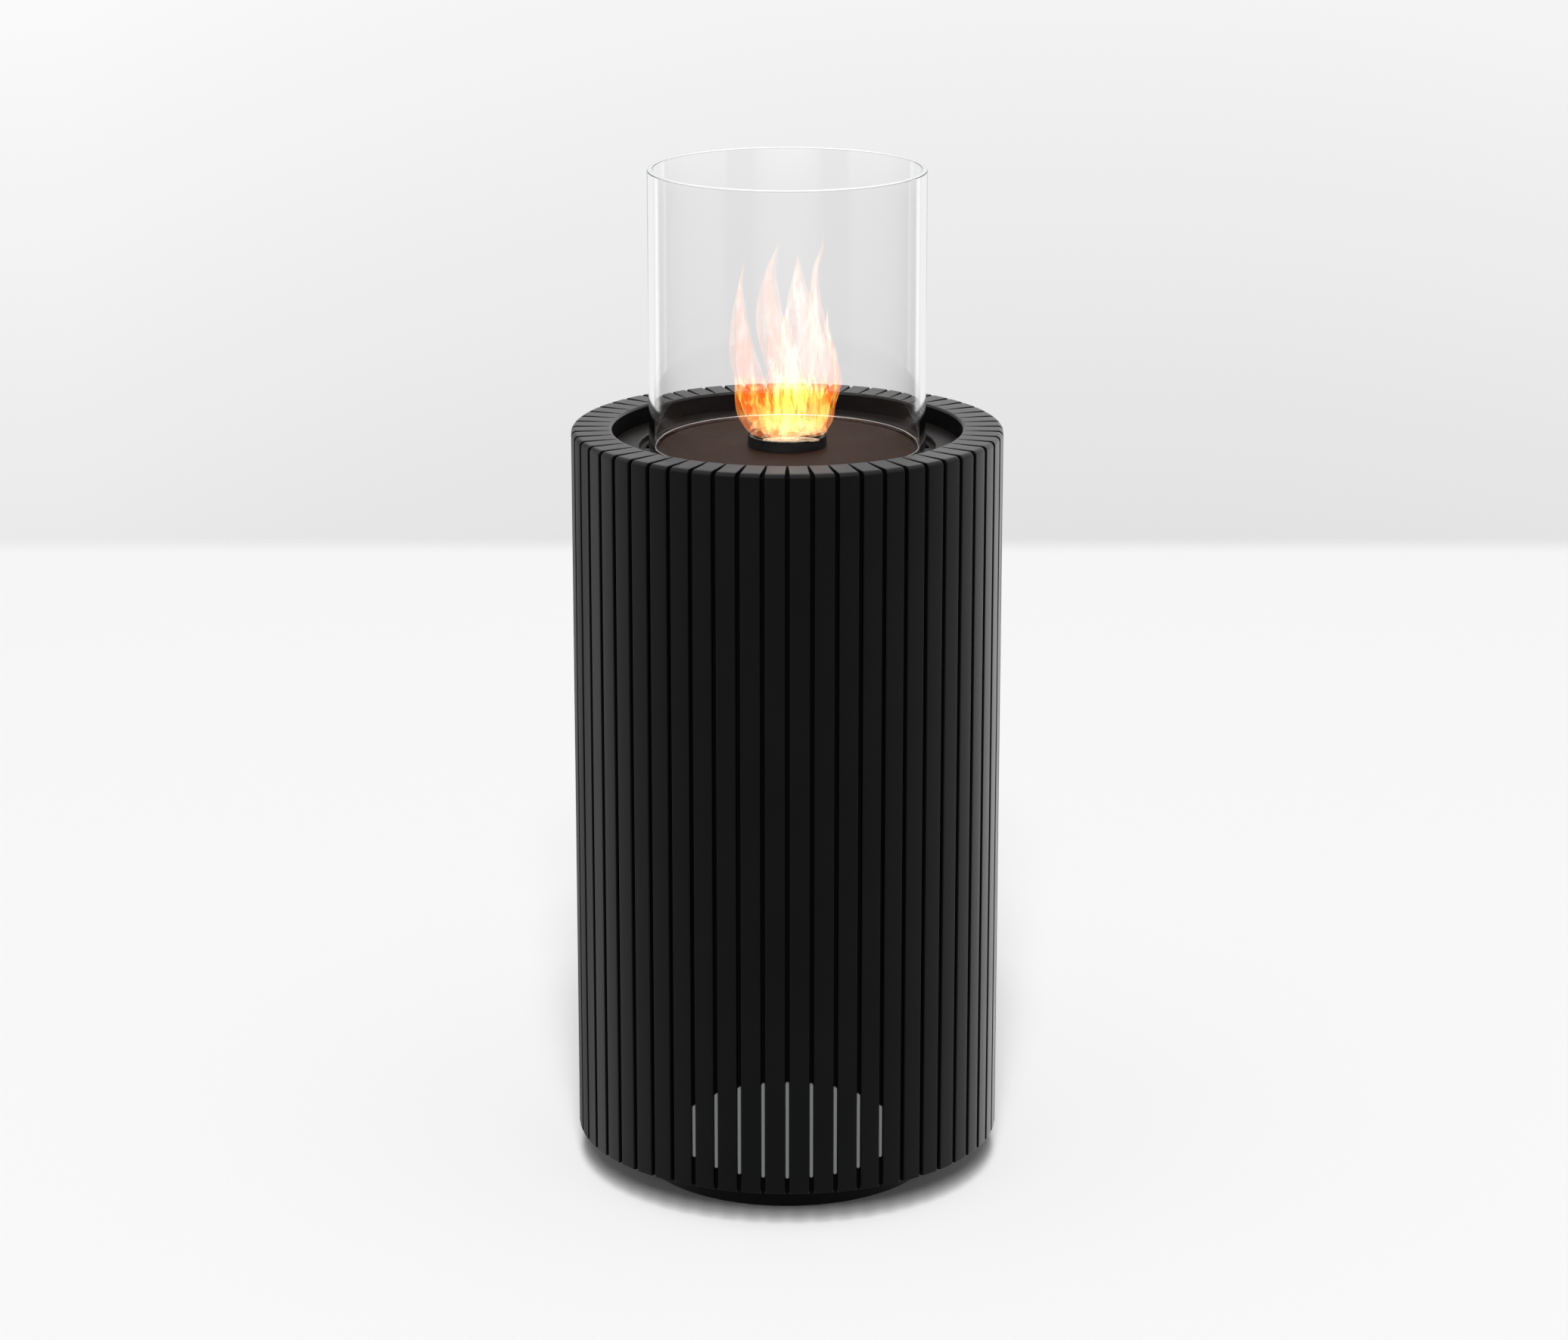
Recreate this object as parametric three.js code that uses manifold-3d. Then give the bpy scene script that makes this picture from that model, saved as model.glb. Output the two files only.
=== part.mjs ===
// Bioethanol column fireplace: a round ribbed body on a recessed plinth, with a sunken burner
// under a clear glass cylinder. Millimetres, +Z up, front towards -Y, floor at z = 0.

import * as THREE from "three";
import { mergeGeometries, mergeVertices } from "three/addons/utils/BufferGeometryUtils.js";
import Module from "manifold-3d";

const wasm = await Module();
wasm.setup();

// ---------------------------------------------------------------- driving dimensions

// Ribbed body, one casting
const ribCount = 56;
const columnRadius = 200;
const columnHeight = 680;
const wall = 9;
const grooveWidth = 4.2;
const grooveDepth = 5;
const grooveEndWidth = 2;
const grooveStop = 2.5;
const rimThickness = 10;
const rimRound = 4.5;
const wellRound = 3;
const wellDepth = 17;
const wellWall = 7;
const ledgeWidth = 10;
const ledgeThickness = 6;

// Air inlet: slots cut through the grooves at the foot of the front, inside an oval outline
const ventReach = 4;
const ventSlotWidth = 3.6;
const ventCentre = 62;
const ventHalfHeight = 47;
const ventOvalMargin = 0.75;
const ventSag = 8.3;

// Fine mesh behind the slots, pressed into ridges that stand in them
const meshThickness = 1.2;
const meshRidgeDrop = 1.5;
const meshMargin = 8;
const meshScrewRadius = 1.5;
const meshScrewGrip = 5;
const meshScrewHeadRadius = 3.2;
const meshScrewHeadHeight = 2;

// Base plate and recessed plinth
const plinthHeight = 37;
const plinthRadius = 140;
const plinthWall = 3;
const plinthLift = 0.6;
const plinthFlange = 36;
const basePlateThickness = 6;
const bossRadius = 7;
const bossHeight = 18;
const baseScrewRadius = 3;
const baseScrewGrip = 12;
const baseScrewHeadRadius = 6;
const baseScrewHeadHeight = 3;
const plinthBoltRadius = 3;
const plinthBoltHeadRadius = 5;
const plinthBoltHeadHeight = 4;
const plinthBoltEdge = 19;

// Levelling feet
const footPadGap = 4;
const footPadRadius = 16;
const footPadHeight = 9;
const footStudRadius = 4;
const footStudLength = 50;
const footNutFlats = 13;
const footNutHeight = 6.5;

// Tray that hangs in the well and carries the glass and the burner
const trayThickness = 2.5;
const channelDepth = 7;
const channelOutside = 9;
const channelInside = 4.5;
const ledgeClear = 12.5;
const trayHoleRadius = 60;
const trayLip = 12;
const airSlotCount = 8;
const airSlotWidth = 3.8;
const airSlotShare = 0.75;
const trayStudRadius = 2.5;
const trayStudLength = 13;
const trayNutFlats = 8;
const trayNutHeight = 4;

// Glass
const glassRadius = 128;
const glassWall = 5;
const glassHeight = 262.4;
const glassEdge = 1.2;
const glassPadHeight = 2;
const glassPadWidth = 7.4;
const glassPadAngle = 0.12;
const guideThickness = 1.4;
const guideHeight = 9;

// Burner
const burnerPlateThickness = 3;
const burnerPlateGap = 2;
const collarWall = 1.1;
const collarHeight = 10.2;
const canRadius = 33;
const canWall = 1.5;
const canDepth = 95;
const canFlangeWidth = 2;
const canFlangeThickness = 1.5;
const canFlangeDrop = 0.8;
const wickDrop = 6.5;
const gridThickness = 1;
const gridHoleRadius = 3;
const gridHolePitch = 11;

// Sides of small round pieces, of the round pieces near the axis and of the tray and plinth
const smallSides = 8;
const middleSides = 32;
const traySides = 48;

// Clearances
const seatGap = 0.3;
const sideGap = 0.4;
const screwGap = 0.3;

// ---------------------------------------------------------------- levels and radii from them

const pitch = (2 * Math.PI) / ribCount;
const footZ = plinthHeight;
const topZ = footZ + columnHeight;
const innerRadius = columnRadius - wall;
const glassInnerRadius = glassRadius - glassWall;
const channelOuterRadius = glassRadius + channelOutside;
const channelInnerRadius = glassInnerRadius - channelInside;
const wellRadius = channelOuterRadius + trayThickness + ledgeClear + ledgeWidth;
const wellFloorZ = topZ - wellDepth;
const ledgeTopZ = wellFloorZ - trayThickness - seatGap;
const ledgeBottomZ = ledgeTopZ - ledgeThickness;
const ledgeRadius = wellRadius - ledgeWidth;
const flatShare = Math.cos(pitch / 2);
const channelFloorZ = wellFloorZ - channelDepth;
const glassBottomZ = channelFloorZ + seatGap + glassPadHeight + seatGap;
const guideOuterRadius = glassInnerRadius * flatShare - sideGap;
const guideInnerRadius = guideOuterRadius - guideThickness;
const plateRadius = guideInnerRadius * flatShare - burnerPlateGap;
const innerLedgeZ = wellFloorZ - burnerPlateThickness - seatGap - 0.5;
const plateTopZ = innerLedgeZ + seatGap + burnerPlateThickness;
const collarBottomZ = plateTopZ + seatGap;
const collarTopZ = collarBottomZ + collarHeight;
const canTopZ = collarTopZ - canFlangeDrop;
const canFlangeRadius = canRadius + canFlangeWidth;
const collarRadius = canFlangeRadius + sideGap + collarWall;
const canBottomZ = canTopZ - canDepth;
const wickTopZ = canTopZ - wickDrop;
const basePlateTopZ = footZ + basePlateThickness;
const bossCircle = innerRadius - bossRadius + 0.5;
const ventCentreZ = footZ + ventCentre;
const footCircle = plinthRadius - plinthWall - footPadGap - footPadRadius;
const plinthBoltCircle = plinthRadius - plinthWall - plinthBoltEdge;

// ---------------------------------------------------------------- shape helpers

// Points of an arc in a revolved outline, without its first point
function arc(centreRadius, centreHeight, radius, from, to, steps) {
  const points = [];
  for (let step = 1; step <= steps; step += 1) {
    const angle = from + ((to - from) * step) / steps;
    points.push([centreRadius + radius * Math.cos(angle), centreHeight + radius * Math.sin(angle)]);
  }
  return points;
}

// Turns an outline of [radius, height] pairs about Z. Outlines run anticlockwise.
function revolve(outline, sides = ribCount) {
  const points = outline.map(([radius, height]) => new THREE.Vector2(radius, height));
  if (outline[0][0] > 0) points.push(points[0].clone());
  return new THREE.LatheGeometry(points, sides).rotateX(Math.PI / 2);
}

// Straight prism from a shape in the XY plane, from height low to height high
function prism(shape, low, high, curveSteps = 4) {
  const settings = { depth: high - low, bevelEnabled: false, curveSegments: curveSteps };
  return new THREE.ExtrudeGeometry(shape, settings).translate(0, 0, low);
}

function rod(radius, low, high, sides = smallSides) {
  const height = high - low;
  const geometry = new THREE.CylinderGeometry(radius, radius, height, sides);
  return geometry.rotateX(Math.PI / 2).translate(0, 0, low + height / 2);
}

// Moves a piece made on the Z axis out to a radius, towards the front, then round by an angle
function placed(geometry, radius, angle) {
  return geometry.translate(0, -radius, 0).rotateZ(angle);
}

// Copies of one geometry at equal angles
function ring(makeOne, count, start = 0) {
  const step = (2 * Math.PI) / count;
  return Array.from({ length: count }, (_, index) => makeOne().rotateZ(start + index * step));
}

// Closed index of the shared corners, with the empty triangles at the axis left out
function welded(geometry) {
  const bare = new THREE.BufferGeometry();
  bare.setAttribute("position", geometry.getAttribute("position").clone());
  if (geometry.index) bare.setIndex(geometry.index.clone());
  const merged = mergeVertices(bare, 1e-3);
  const corners = [];
  for (let first = 0; first < merged.index.count; first += 3) {
    const [a, b, c] = [0, 1, 2].map((offset) => merged.index.getX(first + offset));
    if (a !== b && b !== c && c !== a) corners.push(a, b, c);
  }
  merged.setIndex(corners);
  return merged;
}

function solidOf(geometry) {
  const merged = welded(geometry);
  const mesh = new wasm.Mesh({
    numProp: 3,
    vertProperties: new Float32Array(merged.getAttribute("position").array),
    triVerts: new Uint32Array(merged.index.array),
  });
  return new wasm.Manifold(mesh);
}

function geometryOf(solid) {
  const mesh = solid.getMesh();
  const geometry = new THREE.BufferGeometry();
  geometry.setAttribute("position", new THREE.BufferAttribute(mesh.vertProperties, 3));
  geometry.setIndex(new THREE.BufferAttribute(mesh.triVerts, 1));
  return geometry;
}

// First piece, with the others joined on and the cutters taken away. Cutters may not touch each other.
function machined(first, joined, cutters) {
  let solid = solidOf(first);
  for (const piece of joined) solid = solid.add(solidOf(piece));
  if (cutters.length > 0) solid = solid.subtract(solidOf(bare(cutters)));
  return geometryOf(solid);
}

function bare(geometries) {
  return mergeGeometries(geometries.map((geometry) => {
    const copy = geometry.index ? geometry.toNonIndexed() : geometry.clone();
    copy.deleteAttribute("normal");
    copy.deleteAttribute("uv");
    return copy;
  }));
}

// ---------------------------------------------------------------- materials and the assembly

const finishes = {
  satinBlack: { color: 0x1b1b1c, roughness: 0.42, metalness: 0.3 },
  heatBlack: { color: 0x201c1a, roughness: 0.55, metalness: 0.3 },
  steel: { color: 0xb9bbbd, roughness: 0.35, metalness: 0.9 },
  zinc: { color: 0xa7abad, roughness: 0.5, metalness: 0.8 },
  glass: { color: 0xf2f6f6, roughness: 0.04, metalness: 0, transparent: true, opacity: 0.3 },
  silicone: { color: 0x2a2a2a, roughness: 0.8, metalness: 0 },
  wool: { color: 0xeeeae0, roughness: 0.95, metalness: 0 },
};

const fireplace = new THREE.Group();

function addPiece(name, geometry, finish) {
  const material = new THREE.MeshStandardMaterial(finishes[finish]);
  material.flatShading = true;
  const mesh = new THREE.Mesh(geometry, material);
  mesh.name = name;
  fireplace.add(mesh);
}

// ---------------------------------------------------------------- ribbed body

// One groove's cutter, seen from the side: up the wall, round the rim's corner and along the
// rim's face, where its floor ramps up and its width draws in until it runs out.
function grooveCutter() {
  const outside = columnRadius + 3;
  const above = topZ + 3;
  const floor = columnRadius - grooveDepth;
  const corner = grooveDepth / 2;
  const end = wellRadius + wellRound + grooveStop;
  const side = new THREE.Shape();
  side.moveTo(outside, footZ - 3);
  side.lineTo(outside, above);
  side.lineTo(end, above);
  side.lineTo(end, topZ);
  side.lineTo(floor - corner, topZ - grooveDepth);
  side.lineTo(floor, topZ - grooveDepth - corner);
  side.lineTo(floor, footZ - 3);
  side.closePath();
  const cutter = prism(side, -grooveWidth / 2, grooveWidth / 2);
  const corners = cutter.getAttribute("position");
  for (let index = 0; index < corners.count; index += 1) {
    const share = THREE.MathUtils.clamp((corners.getX(index) - end) / (floor - corner - end), 0, 1);
    const width = THREE.MathUtils.lerp(grooveEndWidth, grooveWidth, share);
    corners.setZ(index, (corners.getZ(index) * width) / grooveWidth);
  }
  const towardsFront = new THREE.Vector3(0, -1, 0);
  const up = new THREE.Vector3(0, 0, 1);
  const across = new THREE.Vector3(-1, 0, 0);
  return cutter.applyMatrix4(new THREE.Matrix4().makeBasis(towardsFront, up, across));
}

// Bars with round ends on the lines of the air slots, drawn in by a gap all round, from radius near to far
function ventBars(gap, near, far, endSteps) {
  const radius = ventSlotWidth / 2 - gap;
  const frame = new THREE.Matrix4().makeBasis(
    new THREE.Vector3(1, 0, 0),
    new THREE.Vector3(0, 0, 1),
    new THREE.Vector3(0, -1, 0),
  );
  return Array.from({ length: 2 * ventReach + 1 }, (_, index) => {
    const step = index - ventReach;
    const half = ventHalfHeight * Math.sqrt(1 - (step / (ventReach + ventOvalMargin)) ** 2) - gap;
    const middle = ventCentreZ - ventSag * (step / ventReach) ** 2;
    const slot = new THREE.Shape();
    slot.absarc(0, middle + half - radius, radius, 0, Math.PI);
    slot.absarc(0, middle - half + radius, radius, Math.PI, 2 * Math.PI);
    slot.closePath();
    return prism(slot, near, far, endSteps).applyMatrix4(frame).rotateZ(step * pitch);
  });
}

// Screws into the wall stand at rib middles, where the wall has its full thickness
const meshHalfAngle = (ventReach + 1) * pitch;
const meshScrewAngle = (ventReach + 0.5) * pitch;
const meshLowZ = ventCentreZ - ventHalfHeight - meshMargin / 2;
const meshHighZ = ventCentreZ + ventHalfHeight + meshMargin;
const meshScrewPlaces = [-1, 1].flatMap((side) => [
  [side * meshScrewAngle, meshLowZ + meshMargin],
  [side * meshScrewAngle, meshHighZ - meshMargin],
]);

// A rod that points outwards along a radius, from radius near to radius far
function spoke(radius, near, far, angle, height) {
  return rod(radius, near, far).rotateX(Math.PI / 2).translate(0, 0, height).rotateZ(angle);
}

function ribbedBody() {
  const outline = [
    [columnRadius, footZ],
    [columnRadius, topZ - rimRound],
    ...arc(columnRadius - rimRound, topZ - rimRound, rimRound, 0, Math.PI / 2, 2),
    [wellRadius + wellRound, topZ],
    ...arc(wellRadius + wellRound, topZ - wellRound, wellRound, Math.PI / 2, Math.PI, 2),
    [wellRadius, ledgeTopZ],
    [ledgeRadius, ledgeTopZ],
    [ledgeRadius, ledgeBottomZ],
    [wellRadius + wellWall, ledgeBottomZ],
    [wellRadius + wellWall, topZ - rimThickness],
    [innerRadius, topZ - rimThickness],
    [innerRadius, footZ],
  ];
  const bossLowZ = basePlateTopZ + seatGap;
  const bosses = ring(() => placed(rod(bossRadius, bossLowZ, bossLowZ + bossHeight), bossCircle, 0), 4, Math.PI / 4);
  const bossHoles = ring(
    () => placed(rod(baseScrewRadius + screwGap, bossLowZ - 1, bossLowZ + baseScrewGrip), bossCircle, 0),
    4,
    Math.PI / 4,
  );
  const screwHoles = meshScrewPlaces.map(([angle, height]) => (
    spoke(meshScrewRadius + screwGap, innerRadius - 2, innerRadius + meshScrewGrip + screwGap, angle, height)
  ));
  const studHoles = ring(
    () => placed(rod(trayStudRadius + screwGap, ledgeBottomZ - 1, ledgeTopZ + 1), ledgeRadius + ledgeWidth / 2, 0),
    4,
  );
  const grooves = ring(grooveCutter, ribCount);
  const cut = machined(revolve(outline), bosses, [...bossHoles, ...screwHoles, ...studHoles]);
  return machined(machined(cut, [], grooves), [], ventBars(0, innerRadius - 3, columnRadius - 1, 3));
}

addPiece("ribbed_shell", ribbedBody(), "satinBlack");

// ---------------------------------------------------------------- air-inlet mesh

function ventMesh() {
  const outer = innerRadius * flatShare - sideGap;
  const inner = outer - meshThickness;
  const front = -Math.PI / 2;
  const band = new THREE.Shape();
  band.absarc(0, 0, outer, front - meshHalfAngle, front + meshHalfAngle, false);
  band.absarc(0, 0, inner, front + meshHalfAngle, front - meshHalfAngle, true);
  band.closePath();
  const holes = meshScrewPlaces.map(([angle, height]) => (
    spoke(meshScrewRadius + screwGap, inner - 2, outer + 2, angle, height)
  ));
  const ridges = ventBars(seatGap, inner + meshThickness / 4, columnRadius - meshRidgeDrop, 2);
  return machined(prism(band, meshLowZ, meshHighZ, 10), ridges, holes);
}

addPiece("vent_mesh", ventMesh(), "zinc");

// A screw along +Z with the underside of its cylinder head at z = 0
function headedScrew(radius, grip, headRadius, headHeight) {
  return revolve([
    [0, -headHeight],
    [headRadius, -headHeight],
    [headRadius, 0],
    [radius, 0],
    [radius, grip],
    [0, grip],
  ], smallSides);
}

meshScrewPlaces.forEach(([angle, height], index) => {
  const meshInner = innerRadius * flatShare - sideGap - meshThickness;
  const grip = innerRadius + meshScrewGrip - meshInner;
  const screw = headedScrew(meshScrewRadius, grip, meshScrewHeadRadius, meshScrewHeadHeight);
  screw.rotateX(Math.PI / 2);
  addPiece(`mesh_screw_${index + 1}`, placed(screw.translate(0, 0, height), meshInner - seatGap, angle), "steel");
});

// ---------------------------------------------------------------- base plate and its screws

function basePlate() {
  const radius = innerRadius * flatShare - sideGap;
  const disc = revolve([[0, footZ], [radius, footZ], [radius, basePlateTopZ], [0, basePlateTopZ]]);
  const through = (holeRadius, circle, start) => ring(
    () => placed(rod(holeRadius, footZ - 1, basePlateTopZ + 1), circle, 0),
    4,
    start,
  );
  return machined(disc, [], [
    ...through(baseScrewRadius + screwGap, bossCircle, Math.PI / 4),
    ...through(plinthBoltRadius + screwGap, plinthBoltCircle, 0),
    ...through(footStudRadius + screwGap, footCircle, Math.PI / 4),
  ]);
}

addPiece("base_plate", basePlate(), "satinBlack");

ring(() => {
  const headZ = footZ - seatGap;
  const grip = basePlateThickness + seatGap + baseScrewGrip - seatGap;
  const screw = headedScrew(baseScrewRadius, grip, baseScrewHeadRadius, baseScrewHeadHeight);
  return placed(screw.translate(0, 0, headZ), bossCircle, 0);
}, 4, Math.PI / 4).forEach((screw, index) => addPiece(`base_screw_${index + 1}`, screw, "steel"));

// ---------------------------------------------------------------- recessed plinth

const plinthTopZ = footZ - seatGap;
const flangeBottomZ = plinthTopZ - plinthWall;

function plinthRing() {
  const flangeRadius = plinthRadius - plinthFlange;
  const skirtInside = plinthRadius - plinthWall;
  const outline = [
    [plinthRadius, plinthLift],
    [plinthRadius, plinthTopZ - plinthWall / 2],
    [plinthRadius - plinthWall / 2, plinthTopZ],
    [flangeRadius, plinthTopZ],
    [flangeRadius, flangeBottomZ],
    [skirtInside, flangeBottomZ],
    [skirtInside, plinthLift],
  ];
  const through = (holeRadius, circle, start) => ring(
    () => placed(rod(holeRadius, flangeBottomZ - 1, plinthTopZ + 1), circle, 0),
    4,
    start,
  );
  return machined(revolve(outline, traySides), [], [
    ...through(plinthBoltRadius + screwGap, plinthBoltCircle, 0),
    ...through(footStudRadius + screwGap, footCircle, Math.PI / 4),
  ]);
}

addPiece("plinth_ring", plinthRing(), "satinBlack");

ring(() => {
  const grip = plinthWall + seatGap + basePlateThickness;
  const bolt = headedScrew(plinthBoltRadius, grip, plinthBoltHeadRadius, plinthBoltHeadHeight);
  return placed(bolt.translate(0, 0, flangeBottomZ - seatGap), plinthBoltCircle, 0);
}, 4).forEach((bolt, index) => addPiece(`plinth_bolt_${index + 1}`, bolt, "steel"));

// ---------------------------------------------------------------- levelling feet

// Hexagonal nut with a plain bore, its flats a given distance apart
function hexNut(flats, bore, low, high) {
  const outline = new THREE.Shape();
  for (let side = 0; side < 6; side += 1) {
    const angle = (side * Math.PI) / 3;
    const corner = flats / 2 / Math.cos(Math.PI / 6);
    const point = [corner * Math.cos(angle), corner * Math.sin(angle)];
    if (side === 0) outline.moveTo(...point);
    else outline.lineTo(...point);
  }
  outline.closePath();
  const hole = new THREE.Path();
  hole.absarc(0, 0, bore, 0, 2 * Math.PI, true);
  outline.holes.push(hole);
  return prism(outline, low, high, smallSides / 2);
}

function footPad() {
  const taper = footPadHeight * 0.4;
  const studHole = footStudRadius + screwGap;
  return revolve([
    [0, 0],
    [footPadRadius, 0],
    [footPadRadius, footPadHeight - taper],
    [footPadRadius - taper, footPadHeight],
    [studHole, footPadHeight],
    [studHole, footPadHeight / 3],
    [0, footPadHeight / 3],
  ], 1.5 * smallSides);
}

for (let index = 0; index < 4; index += 1) {
  const angle = Math.PI / 4 + (index * Math.PI) / 2;
  const studLowZ = footPadHeight / 3 + seatGap;
  const nutTopZ = flangeBottomZ - seatGap;
  const stud = rod(footStudRadius, studLowZ, studLowZ + footStudLength);
  const nut = hexNut(footNutFlats, footStudRadius + screwGap, nutTopZ - footNutHeight, nutTopZ);
  addPiece(`foot_pad_${index + 1}`, placed(footPad(), footCircle, angle), "silicone");
  addPiece(`foot_stud_${index + 1}`, placed(stud, footCircle, angle), "steel");
  addPiece(`foot_nut_${index + 1}`, placed(nut, footCircle, angle), "steel");
}

// ---------------------------------------------------------------- tray in the well

function airSlotCutter() {
  const middle = (channelOuterRadius - trayThickness + glassRadius) / 2;
  const half = (airSlotShare * Math.PI) / airSlotCount;
  const front = -Math.PI / 2;
  const slot = new THREE.Shape();
  slot.absarc(0, 0, middle + airSlotWidth / 2, front - half, front + half, false);
  slot.absarc(0, 0, middle - airSlotWidth / 2, front + half, front - half, true);
  slot.closePath();
  return prism(slot, channelFloorZ - trayThickness - 1, channelFloorZ + 1, 4);
}

// Pressed sheet: a flat flange, a channel for the glass, an inner ledge and a turned-down hole edge
function tray() {
  const flangeRadius = wellRadius * flatShare - sideGap;
  const outline = [
    [flangeRadius, wellFloorZ - trayThickness],
    [flangeRadius, wellFloorZ],
    [channelOuterRadius, wellFloorZ],
    [channelOuterRadius, channelFloorZ],
    [channelInnerRadius, channelFloorZ],
    [channelInnerRadius, innerLedgeZ],
    [trayHoleRadius, innerLedgeZ],
    [trayHoleRadius, innerLedgeZ - trayLip],
    [trayHoleRadius + trayThickness, innerLedgeZ - trayLip],
    [trayHoleRadius + trayThickness, innerLedgeZ - trayThickness],
    [channelInnerRadius - trayThickness, innerLedgeZ - trayThickness],
    [channelInnerRadius - trayThickness, channelFloorZ - trayThickness],
    [channelOuterRadius + trayThickness, channelFloorZ - trayThickness],
    [channelOuterRadius + trayThickness, wellFloorZ - trayThickness],
  ];
  const studTopZ = wellFloorZ - trayThickness / 2;
  const studs = ring(
    () => placed(rod(trayStudRadius, studTopZ - trayStudLength, studTopZ), ledgeRadius + ledgeWidth / 2, 0),
    4,
  );
  return machined(revolve(outline, traySides), studs, ring(airSlotCutter, airSlotCount, Math.PI / airSlotCount));
}

addPiece("burner_tray", tray(), "heatBlack");

for (let index = 0; index < 4; index += 1) {
  const nutTopZ = ledgeBottomZ - seatGap;
  const nut = hexNut(trayNutFlats, trayStudRadius + screwGap, nutTopZ - trayNutHeight, nutTopZ);
  addPiece(`tray_nut_${index + 1}`, placed(nut, ledgeRadius + ledgeWidth / 2, (index * Math.PI) / 2), "steel");
}

// ---------------------------------------------------------------- glass, its pads and guide ring

for (let index = 0; index < 4; index += 1) {
  const middle = -Math.PI / 2 + Math.PI / 4 + (index * Math.PI) / 2;
  const inner = guideOuterRadius + sideGap;
  const pad = new THREE.Shape();
  pad.absarc(0, 0, inner + glassPadWidth, middle - glassPadAngle, middle + glassPadAngle, false);
  pad.absarc(0, 0, inner, middle + glassPadAngle, middle - glassPadAngle, true);
  pad.closePath();
  const low = channelFloorZ + seatGap;
  addPiece(`glass_pad_${index + 1}`, prism(pad, low, low + glassPadHeight, 4), "silicone");
}

addPiece("glass_guide_ring", revolve([
  [guideOuterRadius, channelFloorZ + seatGap],
  [guideOuterRadius, channelFloorZ + seatGap + guideHeight],
  [guideInnerRadius, channelFloorZ + seatGap + guideHeight],
  [guideInnerRadius, channelFloorZ + seatGap],
]), "steel");

const glassTopZ = glassBottomZ + glassHeight;
addPiece("glass_cylinder", revolve([
  [glassRadius, glassBottomZ],
  [glassRadius, glassTopZ - glassEdge],
  [glassRadius - glassEdge, glassTopZ],
  [glassInnerRadius + glassEdge, glassTopZ],
  [glassInnerRadius, glassTopZ - glassEdge],
  [glassInnerRadius, glassBottomZ],
]), "glass");

// ---------------------------------------------------------------- burner plate, collar, can and wick

addPiece("burner_plate", revolve([
  [plateRadius, plateTopZ - burnerPlateThickness],
  [plateRadius, plateTopZ - 1],
  [plateRadius - 1, plateTopZ],
  [canRadius + 1, plateTopZ],
  [canRadius + 1, plateTopZ - burnerPlateThickness],
]), "heatBlack");

const canShoulderZ = canTopZ - canFlangeThickness;
addPiece("burner_collar", revolve([
  [collarRadius, collarBottomZ],
  [collarRadius, collarTopZ - 0.6],
  [collarRadius - 0.6, collarTopZ],
  [canFlangeRadius + sideGap, collarTopZ],
  [canFlangeRadius + sideGap, canShoulderZ - seatGap],
  [canRadius + sideGap, canShoulderZ - seatGap],
  [canRadius + sideGap, collarBottomZ],
], middleSides), "heatBlack");

addPiece("burner_can", revolve([
  [0, canBottomZ],
  [canRadius - 2, canBottomZ],
  [canRadius, canBottomZ + 2],
  [canRadius, canShoulderZ],
  [canFlangeRadius, canShoulderZ],
  [canFlangeRadius, canTopZ],
  [canRadius - canWall, canTopZ],
  [canRadius - canWall, canBottomZ + canWall],
  [0, canBottomZ + canWall],
], middleSides), "steel");

const wickRadius = canRadius - canWall - sideGap;
const gridBottomZ = wickTopZ - gridThickness;
addPiece("wick_wool", revolve([
  [0, canBottomZ + canWall + seatGap],
  [wickRadius, canBottomZ + canWall + seatGap],
  [wickRadius, gridBottomZ - seatGap],
  [0, gridBottomZ - seatGap],
], middleSides), "wool");

// Holes of the burner grid on a hexagonal pattern, as many as lie clear of its edge
function burnerGrid() {
  const holes = [];
  const rows = Math.ceil(wickRadius / gridHolePitch);
  for (let row = -rows; row <= rows; row += 1) {
    for (let column = -rows; column <= rows; column += 1) {
      const across = (column + (row % 2 === 0 ? 0 : 0.5)) * gridHolePitch;
      const along = row * gridHolePitch * Math.sin(Math.PI / 3);
      if (Math.hypot(across, along) + gridHoleRadius + 1.5 > wickRadius) continue;
      holes.push(rod(gridHoleRadius, gridBottomZ - 1, wickTopZ + 1, 6).translate(across, along, 0));
    }
  }
  return machined(rod(wickRadius, gridBottomZ, wickTopZ, middleSides), [], holes);
}

addPiece("burner_grid", burnerGrid(), "steel");

export default fireplace;
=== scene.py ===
# A round ribbed column fireplace that burns bioethanol, as it stands in a plain studio.
# The pieces' sizes are written in millimetres and turned to metres where each mesh is made. Patterns,
# floor, lights and camera are in metres.

import math
import random

import bmesh
import bpy
from mathutils import Matrix, Vector


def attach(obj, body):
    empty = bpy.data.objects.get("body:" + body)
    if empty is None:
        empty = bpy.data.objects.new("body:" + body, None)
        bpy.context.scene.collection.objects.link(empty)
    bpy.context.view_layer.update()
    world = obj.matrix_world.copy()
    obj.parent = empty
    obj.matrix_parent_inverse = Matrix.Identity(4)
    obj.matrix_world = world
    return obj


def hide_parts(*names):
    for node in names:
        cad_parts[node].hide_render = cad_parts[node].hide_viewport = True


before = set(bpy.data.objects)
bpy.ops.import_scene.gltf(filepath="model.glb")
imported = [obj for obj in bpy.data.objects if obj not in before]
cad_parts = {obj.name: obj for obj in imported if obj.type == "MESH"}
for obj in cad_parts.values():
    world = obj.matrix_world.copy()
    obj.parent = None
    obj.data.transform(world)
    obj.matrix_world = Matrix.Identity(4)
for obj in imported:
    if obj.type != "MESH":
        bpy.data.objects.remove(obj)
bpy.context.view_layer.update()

# ---------------------------------------------------------------- levelling feet
# Four rubber pads on threaded studs, so the column stands level on tiles or a terrace. The pads are
# moulded in black rubber, the studs and nuts are zinc-plated steel, and the nuts are welded under the plinth.


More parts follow.
